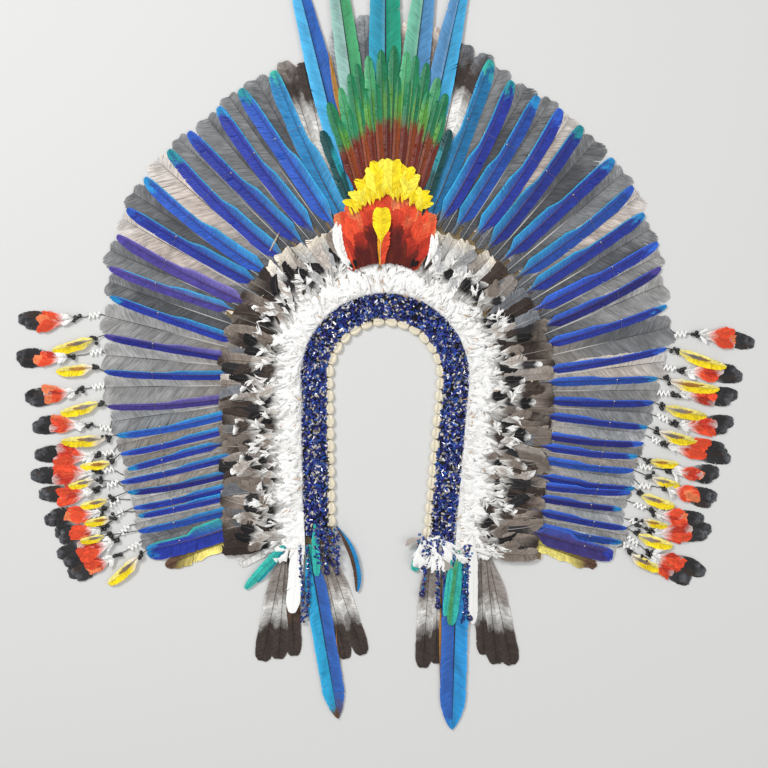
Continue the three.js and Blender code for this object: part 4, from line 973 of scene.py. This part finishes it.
def make_pendants(side, label, sizes):
    """One side's pendants: yellow feathers, and red and black ones with cotton and seeds."""
    seed_shape = turned([(-2.5, 0.4), (-1.9, 1.9), (0.0, 2.6), (1.9, 1.9), (2.5, 0.4)], 8)
    rng = np.random.default_rng(sizes.seed + 60 + side)
    _, tips, _ = fan_lines(side)
    greys = (tips[:-1] + tips[1:]) / 2
    for i, row in enumerate(TASSELS[side]):
        spot = photo(np.array(row, float).reshape(3, 2))
        cotton, root, tip = spot
        near = greys[np.argmin(np.hypot(*(greys - cotton).T))]
        way = (root - cotton) / np.hypot(*(root - cotton))
        # The string: from the grey feather's tip through the cotton to the red feather.
        t = np.linspace(0, 1, 26)
        stops = np.array([near, cotton - way * 6, cotton + way * 6, root])
        string = np.stack([np.interp(t, [0, 0.35, 0.65, 1], stops[:, k]) for k in (0, 1)], -1)
        across = np.array([way[1], -way[0]])
        string = string + across * (np.sin(t * 40) * 0.5)[:, None]
        lots = [tubes(raised(string, 1.6), 0.55, 5, "charcoal", 2)]
        zig = np.linspace(-8, 8, 26)
        fold = 2.6 * np.arcsin(np.sin(np.arange(26) * 0.72 + i))
        bit = cotton + way * zig[:, None] + across * fold[:, None]
        lots.append(tubes(raised(bit, 3.4), 1.15, 6, "white", 2))
        beads = 7
        back = rng.uniform(-11, 0, beads)
        centre = root + way * back[:, None] + across * rng.uniform(-3.4, 3.4, beads)[:, None]
        centre = raised(centre, rng.uniform(2.4, 5.4, beads))
        lots.append(scatter(*seed_shape, centre, any_way(beads, 0.5, rng), inks("black", beads), 1))
        long = np.hypot(*(tip - root))
        out = (tip - root) / long
        head = np.degrees(np.arctan2(out[0], out[1]))
        turn = head + rng.uniform(-6, 6, 3)
        lots.append(feathers(
            root[0], root[1], turn, long * np.array([1.0, 0.93, 0.88]), rows=15, cuts=6, build="light",
            seed=sizes.seed * 7 + i, paint="charcoal brown charcoal | charcoal | slate | grey | charcoal",
            lead=[11, 10, 9], trail=[10.5, 10, 9.5], low=[0.9, 1.4, 1.9], fill=0.6, base=0.12, tip=0.62,
            blunt=2.1, ragged=0.05, split=0.5, fray=0.45, gape=0.5, root_to=0.5, tip_from=0.97, blend=0.22,
            camber=0.7, quill=0.4, shade=0.25))
        count = 9
        spread = np.linspace(-12, 12, count)[rng.permutation(count)]
        size = long * rng.uniform(0.46, 0.66, count)
        lots.append(feathers(
            root[0] + out[0] * 3, root[1] + out[1] * 3, head + spread, size, rows=9, cuts=2, build="light",
            seed=sizes.seed * 9 + i,
            paint="flame coral flame crimson | | flame coral flame pearl | white | coral", lead=size * 0.19,
            trail=size * 0.19, low=2.6 + np.arange(count) * 0.14, rise=1.8, drop=1.6, fill=0.5, base=0.2,
            tip=0.5, blunt=1.7, ragged=0.16, split=0.7, root_to=0.28, tip_from=0.86, blend=0.3, slant=0.9,
            quill=0.2, shade=0.15, gape=0.7, hook=rng.normal(0, 0.08, count)))
        count = 12
        size = rng.uniform(10, 19, count)
        lots.append(feathers(
            root[0] - way[0] * 2, root[1] - way[1] * 2, head + rng.uniform(-46, 46, count), size, rows=6,
            cuts=0, build="light", seed=sizes.seed * 11 + i, paint="white pearl white | | | | white",
            lead=size * 0.2, trail=size * 0.2, low=5.4, rise=1.2, drop=2, fill=0.5, tip=0.4, blunt=1.4,
            ragged=0.4, split=0.6, quill=0.2, hook=rng.normal(0, 0.2, count)))
        name = f"{label}_{i + 1:02d}"
        piece(
            f"pendant_{name}", f"tassel_{name}", "body_feather polished_seed spun_cotton", lots)
    chart = photo(np.array(GOLD[side], float).reshape(-1, 2, 2))
    x, y, heading, length = from_to(chart[:, 0], chart[:, 1])
    count = len(x)
    wide = np.clip(length * 0.16, 5.4, 7.6)
    lots = [feathers(
        x, y, heading, length, rows=18, cuts=5, seed=sizes.seed + 61 + side,
        paint="gold | straw | gold straw | straw cream | umber", side=side, lead=wide * 1.15, trail=wide * 0.85,
        low=6.0, drop=2.4, rise=1.4, fill=0.14, base=0.35, tip=0.5, blunt=1.8, ragged=0.07, split=0.4,
        root_to=0.2, blend=0.2, quill=0.6, camber=1.2, bow=0.03 * side)]
    # The dusky streak along each one's shaft.
    lots.append(feathers(
        x, y, heading - 1.5 * side, length * 0.74, rows=14, cuts=3, build="light", seed=sizes.seed + 63 + side,
        paint="taupe ochre stone | | ochre | cream | umber", lead=wide * 0.46, trail=wide * 0.4, low=6.9,
        drop=1.6, rise=1.7, fill=0.5, base=0.2, tip=0.5, blunt=1.5, ragged=0.2, split=0.5, root_to=0.15,
        tip_from=0.7, blend=0.4, quill=0.3, camber=0.6, bow=0.03 * side))
    near = tips[np.argmin(np.hypot(*np.moveaxis(tips[None] - chart[:, :1], -1, 0)), 1)]
    t = np.linspace(0, 1, 10)[None, :, None]
    flat = near[:, None] * (1 - t) + chart[:, :1] * t
    string = raised(flat, (2.4 + 3.4 * smooth(t))[..., 0])
    lots.append(tubes(string, 0.6, 5, "charcoal", 1))
    beads = 5
    spread = rng.normal(0, 2.6, (count, beads, 2))
    centre = (chart[:, :1] * 0.8 + near[:, None] * 0.2 + spread).reshape(-1, 2)
    centre = raised(centre, rng.uniform(3.0, 6.4, len(centre)))
    lots.append(scatter(*seed_shape, centre, any_way(len(centre), 0.5, rng), inks("black", len(centre)), 2))
    piece(
        f"yellow_pendants_{label}", f"fan_blue_{label}",
        "body_feather spun_cotton polished_seed", lots)


def crest_tails(seed):
    """The long tail feathers of the middle."""
    # across, length, width, turn, left vane, right vane, edge at the root, bow
    tails = (
        (-32.8, 425, 33.6, -14.0, "sky", "denim", "sky", 0.006),
        (-16.4, 461, 32.4, -8.0, "mint", "fern", "fern", 0.004),
        (0.8, 512, 42.0, 0.0, "lagoon", "sea", "lagoon", 0.0),
        (16.4, 450, 37.0, 6.5, "foam", "steel", "foam", -0.004),
        (33.6, 410, 34.0, 11.8, "steel", "sky", "steel", -0.006),
    )
    for i, (across, long, width, turn, left, right, edge, bow) in enumerate(tails):
        lot = feathers(
            across, 88, turn, long, rows=80, cuts=9, seed=seed + 81 + i, paint={"lead": right, "trail": left,
            "tip": right, "root": edge, "shaft": "charcoal"}, lead=width * 0.48, trail=width * 0.52,
            low=6.4 + 0.8 * (i % 2), drop=3.4, rise=1.0, bow=bow, fill=0.42, base=0.25, tip=0.48, blunt=1.35,
            ragged=0.02, split=0.25, root_to=0.3, blend=0.16, camber=1.8, quill=1.9, tip_from=0.93,
            slant=0.9, shade=0.05)
        lots = [lot]
        if i == 0:
            # The orange web that shows along the first one's right edge.
            spot = photo([(341, 122), (329, 52)])
            lots.append(feathers(
                *from_to(spot[:1], spot[1:]), rows=22, cuts=3, seed=seed + 79, paint="ochre | | | | ochre",
                lead=3.6, trail=3.6, low=9.0, drop=1.0, fill=0.4, tip=0.3, blunt=1.5, root_to=0.3, blend=0.3,
                quill=0.2, camber=0.4))
        piece(f"tail_feather_{i + 1}", f"crest_tail_{i + 1}", "macaw_tail_feather", lots)


def crest_back(seed):
    """The brown and grey feathers behind the tail feathers."""
    # Tip and root on the photograph's grid, width, colours.
    back = (
        (289, 60, 315, 150, 22, "brown stone pearl"),
        (303, 62, 326, 160, 22, "brown brown pearl"),
        (336, 28, 346, 150, 17, "grey dove pearl"),
        (364, 15, 368, 140, 22, "slate grey pearl"),
        (408, 21, 402, 140, 18, "taupe rose pearl"),
        (437, 27, 424, 140, 17, "taupe rose pearl"),
        (463, 44, 441, 150, 26, "brown slate white"),
        (480, 52, 452, 160, 24, "brown slate pearl"),
    )
    chart = np.array([row[:5] for row in back], float)
    bodies, ends, roots = zip(*(row[5].split() for row in back))
    lot = feathers(
        *from_to(photo(chart[:, 2:4]), photo(chart[:, :2]), 60.0), rows=26, cuts=6, seed=seed + 90,
        paint={"lead": bodies, "tip": ends, "root": roots, "shaft": "horn"}, lead=chart[:, 4] * 0.65,
        trail=chart[:, 4] * 0.65, low=3.2, drop=0.6, fill=0.3, base=0.3, tip=0.84, blunt=2.2, ragged=0.1,
        split=0.6, fray=0.5, tip_from=0.9, root_to=0.66, blend=0.16, hook=[-0.05, 0, 0, 0, 0, 0, 0.02,
        0.05], quill=1.0)
    piece("back_feathers", "crest_back_row", "grey_wing_feather", [lot])


def crest_green(seed):
    """The green feathers with red bases."""
    tips = np.array(
        [(322, 131), (329, 103), (340, 88), (350, 74), (357, 64), (368, 56), (381, 50), (394, 46), (407, 52),
        (416, 56), (427, 63), (438, 78), (446, 94), (450, 130)], float)
    count = len(tips)
    roots = np.stack([np.linspace(352, 424, count), np.full(count, 190.0)], -1)
    roots[[0, -1], 1] = 210
    x, y, heading, length = from_to(photo(roots), photo(tips), 8)
    outer = [i in (0, count - 1) for i in range(count)]
    lot = feathers(
        x, y, heading, length, rows=30, cuts=7, seed=seed + 91,
        paint={"lead": ["pine" if o else "emerald" for o in outer],
        "trail": ["teal" if o else "leaf" for o in outer],
        "tip": ["pine" if o else ("emerald", "emerald", "fern")[i % 3] for i, o in enumerate(outer)],
        "root": ["pine" if o else ("rust", "russet")[i % 2] for i, o in enumerate(outer)], "shaft": "brown"},
        side=np.where(np.arange(count) < count / 2, -1, 1), lead=7.8, trail=7.8,
        low=9.2 + 0.9 * (np.arange(count) % 2), drop=1.4, rise=0.8, fill=0.25, base=0.4, tip=0.76, blunt=2.0,
        ragged=0.07, split=0.45, root_to=0.49, blend=0.12, tip_from=0.74, camber=1.6, quill=0.7,
        shade=0.15, fray=0.8)
    band = feathers(
        x[1:-1] + 3, y[1:-1], heading[1:-1] + 1.5, length[1:-1] * 0.8, rows=24, cuts=6, seed=seed + 92,
        paint="leaf emerald emerald | leaf emerald leaf | emerald | rust russet | brown", lead=6, trail=6,
        low=10.8, drop=1.0, rise=0.6, fill=0.25, base=0.4, tip=0.7, blunt=1.9, ragged=0.1, split=0.45,
        root_to=0.64, tip_from=0.86, blend=0.1, camber=1.5, quill=0.5, shade=0.25, fray=0.8)
    piece("green_feathers", "crest_green_row", "macaw_tail_feather", [lot, band])


def crest_yellow(seed, rng):
    """The yellow patch: broad soft feathers whose tips make a dome, with a short fringe below it."""
    lots = []
    for row, (count, foot, head, low) in enumerate(((10, 46, 84, 13.2), (10, 44, 74, 14.2))):
        angle = np.linspace(-45, 42, count) + rng.normal(0, 2, count)
        turn = np.radians(angle)
        outer = head - (25 - 10 * row) * np.abs(angle / 50) ** 1.6 + rng.uniform(-3, 2, count)
        root, peak = round_about((389, 242), turn, foot, 0.9), round_about((389, 246), turn, outer, 0.82)
        x, y, heading, size = from_to(root, peak)
        lots.append(feathers(
            x, y, heading + rng.normal(0, 3, count), size, rows=16, cuts=6, seed=seed + 93 + row,
            paint="gold lemon gold | gold lemon | lemon | amber gold | gold", lead=12, trail=12,
            low=low + 0.5 * (np.arange(count) % 2), rise=1.8, drop=0.6, fill=0.35, base=0.45, tip=0.66,
            blunt=2.0, ragged=0.05, split=0.5, root_to=0.1, blend=0.3, slant=0.9, quill=0.2, fray=0.5,
            gape=0.35, shade=0.05))
    count = 44
    angle = np.linspace(-48, 46, count) + rng.normal(0, 2, count)
    turn = np.radians(angle)
    reach = 52 + 6 * rng.random(count)
    root = round_about((389, 244), turn, reach, 0.96)
    lots.append(feathers(
        root[:, 0], root[:, 1], 180 + angle * 0.5 + rng.normal(0, 9, count), rng.uniform(6, 15, count), rows=7,
        cuts=1, build="light", seed=seed + 95, paint="gold lemon gold | | | | gold", lead=2.0, trail=2.0,
        low=15.6, rise=0.8, drop=0.6, fill=0.3, base=0.5, tip=0.4, blunt=1.5, ragged=0.15,
        split=0.6, quill=0.2))
    piece("yellow_feathers", "crest_yellow_row", "body_feather", lots)


def crest_red(seed, rng):
    """The red patch: three tiers of broad feathers from below the ruff, dark at their roots."""
    lots = []
    tiers = (
        (20, 102, 33, 10.4, 0.3, "flame coral flame", "coral coral flame"),
        (18, 88, 33, 11.4, 0.5, "flame crimson", "flame coral flame"),
        (16, 72, 27, 12.4, 0.86, "crimson russet", "crimson flame crimson"),
    )
    for tier, (count, reach, span, low, root_to, body, ends) in enumerate(tiers):
        angle = np.linspace(-span, span, count) + rng.normal(0, 1.5, count)
        turn = np.radians(angle)
        root = np.stack([384 + np.sin(turn) * 52, 306 - np.cos(turn) * 42], -1)
        tall = reach * (1 - 0.14 * np.abs(angle / span) ** 2) + rng.uniform(-3, 2, count)
        x, y, heading, size = from_to(photo(root), round_about((385, 294), turn, tall, 1.03))
        side_on = np.abs(angle / span)
        lots.append(feathers(
            x, y, heading + rng.normal(0, 3, count), size, rows=16, cuts=4, build="light",
            seed=seed + 95 + tier, paint={"lead": body, "tip": ends, "root": "maroon russet maroon",
            "shaft": "russet"}, lead=11, trail=11, low=low + 0.7 * (np.arange(count) % 3) / 3, rise=1.2,
            drop=0.8, fill=0.35, base=0.5, tip=0.62, blunt=1.9, ragged=0.1, split=0.6,
            root_to=root_to - 0.4 * side_on**2, tip_from=0.88, blend=0.5, slant=0.9, quill=0.3, shade=0.08,
            fray=0.5, gape=0.4))
    pale = photo([(352, 270), (349, 268), (346, 264), (424, 269), (427, 264)])
    lots.append(feathers(
        pale[:, 0], pale[:, 1], [-14, -18, -12, 12, 16], [62, 56, 56, 46, 42], rows=18, cuts=5, seed=seed + 99,
        paint="white | | | | white", lead=[4.5, 4, 4, 4, 3.5], trail=[4.5, 4, 4, 4, 3.5], low=12.4, rise=1.4,
        drop=1.0, fill=0.4, base=0.3, tip=0.6, blunt=1.8, ragged=0.15, split=0.5, quill=0.4,
        bow=[-0.1, -0.1, -0.12, 0.1, 0.1]))
    dark = photo([(353, 268), (357, 268), (411, 268), (414, 267)])
    lots.append(feathers(
        dark[:, 0], dark[:, 1], [-40, -20, 18, 34], [10, 11, 12, 9], rows=10, cuts=3, seed=seed + 100,
        paint="black | | | | charcoal", lead=3, trail=3, low=13.2, rise=1.0, drop=0.6, fill=0.4, base=0.4,
        tip=0.6, ragged=0.2, split=0.6, quill=0.3))
    piece("red_feathers", "crest_red_row", "body_feather", lots)


def crest_middle(seed):
    """The yellow and red feather in the middle of the ruff."""
    stem = photo([(382, 266), (382, 209)])
    x, y, heading, length = from_to(stem[:1], stem[1:])
    low_part = feathers(
        x - 2.0, y, heading, length * 0.64, rows=20, cuts=5, seed=seed + 97,
        paint="flame | amber | flame | crimson | cream", lead=13.5, trail=4.2, low=14.6, rise=1.4, drop=-1.0,
        fill=0.5, base=0.45, tip=0.7, blunt=2.2, ragged=0.08, split=0.4, tip_from=0.9, root_to=-1, blend=0.1,
        camber=1.5, quill=1.2)
    blob = feathers(
        x - 1.0, y + length * 0.3, heading + 1, length * 0.7, rows=26, cuts=5, seed=seed + 98,
        paint="gold | gold | gold | amber | gold", lead=12.5, trail=12.5, low=16.2, rise=0.8, drop=0.2,
        fill=0.45, bare=0.05, base=0.1, tip=0.62, blunt=2.1, ragged=0.06, split=0.35, root_to=0.12, blend=0.2,
        camber=2.0, quill=0.7, shade=0.02)
    piece("middle_feather", "crest_centre_feather", "body_feather", [low_part, blob])


def make_lappets(seed):
    """Makes the two lappets: long blue, barred, white and small green feathers, and bead strands."""
    bars = "pearl | | brown | stone | umber"
    barred = "pearl pearl umber pearl | | brown brown brown pearl | stone stone brown dove | umber"
    bar = dict(
        tip_from=0.63, root_to=0.45, blend=0.16, fill=0.3, base=0.3, tip=0.82, blunt=2.0, split=0.4,
        ragged=0.04, low=3.2, drop=2.0)
    long_blue = dict(
        fill=0.22, base=0.35, tip=0.8, blunt=1.3, split=0.35, ragged=0.03, low=6.6, drop=4.2, tip_from=0.97,
        root_to=0.08, blend=0.1, quill=1.3, camber=1.6, rows=44, cuts=6)
    small = dict(fill=0.3, base=0.3, tip=0.7, blunt=2.0, split=0.3, ragged=0.04, low=11.5, drop=3.0, quill=0.5)
    pure = dict(fill=0.3, base=0.4, tip=0.8, blunt=1.8, split=0.4, ragged=0.06, low=13.6, drop=6.0, quill=0.5)
    pieces = (
        # Name, node, slot, finish, tip, root and width of each feather, its colours and its shape.
        ("long_blue_left", "lappet_blue_left", "blue_flight_feather", "macaw_tail_feather",
         [(338, 719, 309, 548, 23)],
         "cyan | denim | umber | turquoise | charcoal", dict(long_blue, side=1, tip_from=0.92)),
        ("long_blue_right", "lappet_blue_right", "blue_flight_feather", "macaw_tail_feather",
         [(452, 730, 457, 546, 27)],
         "azure | denim | azure | teal | charcoal", dict(long_blue, side=-1)),
        ("barred_outer_left", "lappet_outer_tails_left", "black_feather", "grey_wing_feather",
         [(262, 661, 284, 552, 20), (278, 659, 286, 552, 19), (294, 656, 289, 552, 17),
          (239, 563, 282, 540, 14)],
         barred, bar),
        ("barred_outer_right", "lappet_outer_tails_right", "black_feather", "grey_wing_feather",
         [(512, 665, 488, 556, 20), (497, 664, 486, 556, 20), (484, 655, 481, 556, 15)],
         bars, bar),
        ("barred_inner_left", "lappet_inner_tails_left", "black_feather", "grey_wing_feather",
         [(363, 655, 326, 548, 18), (346, 659, 320, 548, 17)],
         bars, bar),
        ("barred_inner_right", "lappet_inner_tails_right", "black_feather", "grey_wing_feather",
         [(423, 668, 430, 556, 18), (436, 664, 438, 556, 15)],
         bars, bar),
        ("long_white_left", "lappet_white_left", "white_down", "loose_down",
         [(292, 613, 301, 515, 15)],
         "white | | | | white", pure),
        ("long_white_right", "lappet_white_right", "white_down", "loose_down",
         [(473, 624, 473, 540, 10), (518, 557, 476, 549, 7)],
         "white | | | | white", pure),
        ("small_green_left", "lappet_green_left", "green_feather", "body_feather",
         [(245, 589, 283, 546, 9), (256, 582, 284, 549, 8), (317, 576, 315, 528, 8), (357, 592, 338, 530, 8)],
         {"lead": "turquoise teal turquoise umber", "trail": "turquoise teal turquoise azure",
          "tip": "mint turquoise turquoise turquoise", "shaft": "teal"},
         dict(small, bow=[0, 0, 0, -0.1], drop=[9, 9, 3, 8])),
        ("small_green_right", "lappet_green_right", "green_feather", "body_feather",
         [(451, 625, 459, 554, 12), (445, 616, 451, 564, 7), (414, 571, 421, 546, 9)],
         "fern turquoise turquoise | turquoise | emerald mint turquoise | | teal",
         dict(small, drop=[3, 3, 8])),
    )
    webs = {"long_blue_left": [(336, 626), (340, 706)], "long_blue_right": [(441, 575), (442, 700)]}
    for name, node, slot, finish, rows, paint, shape in pieces:
        chart = np.array(rows, float)
        shape = {"rows": 24, "cuts": 5, "quill": 0.9, **shape}
        half = chart[:, 4] * 0.65
        line = from_to(photo(chart[:, 2:4]), photo(chart[:, :2]), 6)
        lots = [feathers(*line, seed=seed + len(name), paint=paint, lead=half, trail=half, **shape)]
        if name in webs:
            # The brown web that shows along the long blue feather's edge.
            spot = photo(webs[name])
            lots.append(feathers(
                *from_to(spot[:1], spot[1:]), rows=24, cuts=4, seed=seed + 110,
                paint="ochre | umber | umber | | umber", lead=3.4, trail=3.4, low=4.2, drop=1.2, fill=0.5,
                base=0.1, tip=0.4, ragged=0.05, split=0.3, tip_from=0.6, blend=0.4, quill=0.2, camber=0.3))
        if name == "long_white_right":
            # Loose down that hides the band's end.
            rng = np.random.default_rng(seed + 111)
            count = 90
            root = photo(np.stack([rng.uniform(419, 448, count), rng.uniform(536, 558, count)], -1))
            size = rng.uniform(12, 25, count)
            lots.append(feathers(
                root[:, 0], root[:, 1], 180 + rng.normal(0, 44, count), size, rows=8, cuts=0, build="light",
                seed=seed + 112, paint={"lead": ["white"] * 12 + ["ash"], "shaft": "white"}, lead=size * 0.25,
                trail=size * 0.25, low=rng.uniform(7, 12.5, count), drop=3, rise=1.5, fill=0.5, tip=0.4,
                blunt=1.7, ragged=0.25, split=0.7, quill=0.3, hook=rng.normal(0, 0.2, count)))
        piece(name, node, finish, lots)
    bead = turned([(-1.6, 0.5), (-0.9, 1.5), (0.9, 1.5), (1.6, 0.5)], 7)
    big = turned([(-4.4, 0.8), (-3.5, 2.8), (-1.6, 4.1), (0.6, 4.4), (2.6, 3.6), (4.0, 1.6), (4.4, 0.8)], 14)
    # Each strand as places on the photograph's grid, and the big beads.
    strands = {
        -1: (
            [(300, 545), (302, 580), (303, 598), (302, 622)],
            [(307, 545), (309, 575), (308, 600), (307, 617)],
            [(322, 528), (326, 545), (327, 572)],
            [(330, 528), (336, 548), (338, 575)],
            [(316, 528), (319, 548), (320, 566)],
        ),
        1: (
            [(466, 545), (463, 580), (464, 600), (470, 618)],
            [(470, 545), (468, 575), (467, 598), (462, 622)],
            [(428, 540), (423, 552), (423, 566)],
            [(432, 540), (426, 565), (422, 594)],
            [(437, 540), (438, 575), (438, 606)],
            [(443, 540), (442, 555), (444, 585)],
        ),
    }
    heaps = {-1: (170, (327, 547, 13, 19)), 1: (110, (431, 545, 13, 11))}
    large = {-1: [(327, 572)], 1: [(423, 567), (422, 594), (438, 606), (470, 618)]}
    for side, label in SIDES:
        rng = np.random.default_rng(seed + 100 + side)
        paths, places, frames = [], [], []
        for stops in strands[side]:
            stops = photo(stops)
            t = np.linspace(0, 1, 40)
            at = np.linspace(0, 1, len(stops))
            path = np.stack([np.interp(t, at, stops[:, 0]), np.interp(t, at, stops[:, 1]), 12.5 - 6 * t], -1)
            paths.append(path)
            long = np.hypot(*(stops[-1] - stops[0]))
            beads = int(long / PIXEL)
            here = np.linspace(0, 1, beads)
            spot = np.stack([np.interp(here, t, path[:, k]) for k in range(3)], -1)
            places.append(spot + rng.normal(0, 1.1, spot.shape) * (1, 1, 0.6))
            frames.append(any_way(beads, 0.4, rng))
        # Beads heaped over the band's end.
        beads, (cx, cy, wide, tall) = heaps[side]
        middle = photo(np.stack(
            [cx + rng.uniform(-1, 1, beads) * wide, cy + rng.uniform(-1, 1, beads) * tall], -1))
        places.append(raised(middle, rng.uniform(5, 12, beads)))
        frames.append(any_way(beads, 0.6, rng))
        places, frames = np.concatenate(places), np.concatenate(frames)
        # The dove beads are partly real pale beads, partly painted glints of light on the glass.
        kinds = "indigo ultramarine cobalt indigo black indigo dove azure ultramarine"
        tint = inks(kinds, len(places)) * rng.uniform(0.3, 1, (len(places), 1))
        lots = [scatter(*bead, places, frames, tint)]
        spots = raised(photo(large[side]), 7.0)
        lots.append(scatter(*big, spots, any_way(len(spots), 0.3, rng), inks("indigo", len(spots)) * 0.35))
        lots.append(tubes(paths, 0.4, 5, "indigo", 1))
        piece(
            f"bead_strands_{label}", f"lappet_strands_{label}",
            "drawn_glass_bead spun_cotton", lots)


# ---------------------------------------------------------------- the add-on


class HeaddressSizes(bpy.types.PropertyGroup):
    """Sizes that change from one headdress to the next."""

    blue_width: bpy.props.FloatProperty(
        name="Blue feather width", description="Share of the charted width of the fan's blue feathers",
        default=1.0, min=0.5, max=1.6)
    grey_width: bpy.props.FloatProperty(
        name="Grey feather width", description="Least width of the fan's grey feathers",
        default=0.021, unit="LENGTH")
    bead_length: bpy.props.FloatProperty(
        name="Bead length", description="Length of a bugle bead", default=0.0044, unit="LENGTH")
    down_length: bpy.props.FloatProperty(
        name="Down length", description="Length of a down feather", default=0.021, unit="LENGTH")
    cowrie_length: bpy.props.FloatProperty(
        name="Cowrie length", description="Length of a shell", default=0.0161, unit="LENGTH")
    seed: bpy.props.IntProperty(
        name="Seed", description="Start of the small differences between like pieces", default=7, min=0)


class HeaddressColours(bpy.types.PropertyGroup):
    """Colours that change from one headdress to the next."""

    floor: bpy.props.FloatVectorProperty(
        name="Floor", description="Colour of the floor", default=(0.72, 0.72, 0.71), subtype="COLOR",
        size=3, min=0, max=1)
    shell: bpy.props.FloatVectorProperty(
        name="Shell", description="Colour of the cowries", default=(0.98, 0.96, 0.93), subtype="COLOR",
        size=3, min=0, max=1)


class HEADDRESS_OT_stage(bpy.types.Operator):
    """Makes the camera, the floor and the lights"""

    bl_idname = "headdress.stage"
    bl_label = "Stage"

    def execute(self, context):
        make_stage(context.scene)
        return {"FINISHED"}


class HEADDRESS_OT_band(bpy.types.Operator):
    """Makes the woven band that carries everything, with its bound edges"""

    bl_idname = "headdress.band"
    bl_label = "Woven band"

    def execute(self, context):
        make_band()
        return {"FINISHED"}


class HEADDRESS_OT_shells(bpy.types.Operator):
    """Makes the cowries of the inner edge"""

    bl_idname = "headdress.shells"
    bl_label = "Cowries"

    def execute(self, context):
        make_shells(context.scene)
        return {"FINISHED"}


class HEADDRESS_OT_beads(bpy.types.Operator):
    """Makes the heaped bugle beads of the band and a near-black sheet of painted shade under them"""

    bl_idname = "headdress.beads"
    bl_label = "Beads"

    def execute(self, context):
        make_beads(context.scene.headdress_sizes)
        return {"FINISHED"}


class HEADDRESS_OT_down(bpy.types.Operator):
    """Makes the ruff of white down from small curled feathers and loose barbs"""

    bl_idname = "headdress.down"
    bl_label = "Down ruff"

    def execute(self, context):
        sizes = context.scene.headdress_sizes
        rng = np.random.default_rng(sizes.seed + 2)
        for side, label in SIDES:
            make_down(side, label, sizes, rng)
        return {"FINISHED"}


class HEADDRESS_OT_coverts(bpy.types.Operator):
    """Makes the short brown, black and grey feathers round the ruff"""

    bl_idname = "headdress.coverts"
    bl_label = "Short feathers"

    def execute(self, context):
        for side, label in SIDES:
            make_coverts(side, label, context.scene.headdress_sizes)
        return {"FINISHED"}


class HEADDRESS_OT_fan(bpy.types.Operator):
    """Makes the blue and the grey flight feathers of the fan, bound at their quills"""

    bl_idname = "headdress.fan"
    bl_label = "Fan"

    def execute(self, context):
        for side, label in SIDES:
            make_fan(side, label, context.scene.headdress_sizes)
        return {"FINISHED"}


class HEADDRESS_OT_pendants(bpy.types.Operator):
    """Makes the side pendants: yellow feathers, and red and black ones with cotton and seeds"""

    bl_idname = "headdress.pendants"
    bl_label = "Pendants"

    def execute(self, context):
        for side, label in SIDES:
            make_pendants(side, label, context.scene.headdress_sizes)
        return {"FINISHED"}


class HEADDRESS_OT_crest(bpy.types.Operator):
    """Makes the crest: long tail feathers, the brown, green, yellow and red rows and the middle feather"""

    bl_idname = "headdress.crest"
    bl_label = "Crest"

    def execute(self, context):
        seed = context.scene.headdress_sizes.seed
        rng = np.random.default_rng(seed + 80)
        crest_tails(seed)
        crest_back(seed)
        crest_green(seed)
        crest_yellow(seed, rng)
        crest_red(seed, rng)
        crest_middle(seed)
        return {"FINISHED"}


class HEADDRESS_OT_lappets(bpy.types.Operator):
    """Makes the two lappets: long blue, barred, white and small green feathers, and bead strands"""

    bl_idname = "headdress.lappets"
    bl_label = "Lappets"

    def execute(self, context):
        make_lappets(context.scene.headdress_sizes.seed)
        return {"FINISHED"}


STEPS = (
    HEADDRESS_OT_stage,
    HEADDRESS_OT_band,
    HEADDRESS_OT_shells,
    HEADDRESS_OT_beads,
    HEADDRESS_OT_down,
    HEADDRESS_OT_coverts,
    HEADDRESS_OT_fan,
    HEADDRESS_OT_pendants,
    HEADDRESS_OT_crest,
    HEADDRESS_OT_lappets,
)


class HEADDRESS_PT_panel(bpy.types.Panel):
    """Lists the headdress's sizes, colours and pieces"""

    bl_idname = "HEADDRESS_PT_panel"
    bl_label = "Headdress"
    bl_space_type = "VIEW_3D"
    bl_region_type = "UI"
    bl_category = "Headdress"

    def draw(self, context):
        for group in (context.scene.headdress_sizes, context.scene.headdress_colours):
            for key in group.__annotations__:
                self.layout.prop(group, key)
        for step in STEPS:
            self.layout.operator(step.bl_idname)


CLASSES = (HeaddressSizes, HeaddressColours, *STEPS, HEADDRESS_PT_panel)


def register():
    """Registers the classes and hangs the settings on the scene."""
    for cls in CLASSES:
        bpy.utils.register_class(cls)
    bpy.types.Scene.headdress_sizes = bpy.props.PointerProperty(type=HeaddressSizes)
    bpy.types.Scene.headdress_colours = bpy.props.PointerProperty(type=HeaddressColours)


def unregister():
    """Takes the settings and the classes away again."""
    del bpy.types.Scene.headdress_colours
    del bpy.types.Scene.headdress_sizes
    for cls in reversed(CLASSES):
        bpy.utils.unregister_class(cls)


def main():
    """Makes the whole headdress."""
    register()
    make_materials()
    for step in STEPS:
        group, name = step.bl_idname.split(".")
        getattr(getattr(bpy.ops, group), name)()


if __name__ == "__main__":
    main()
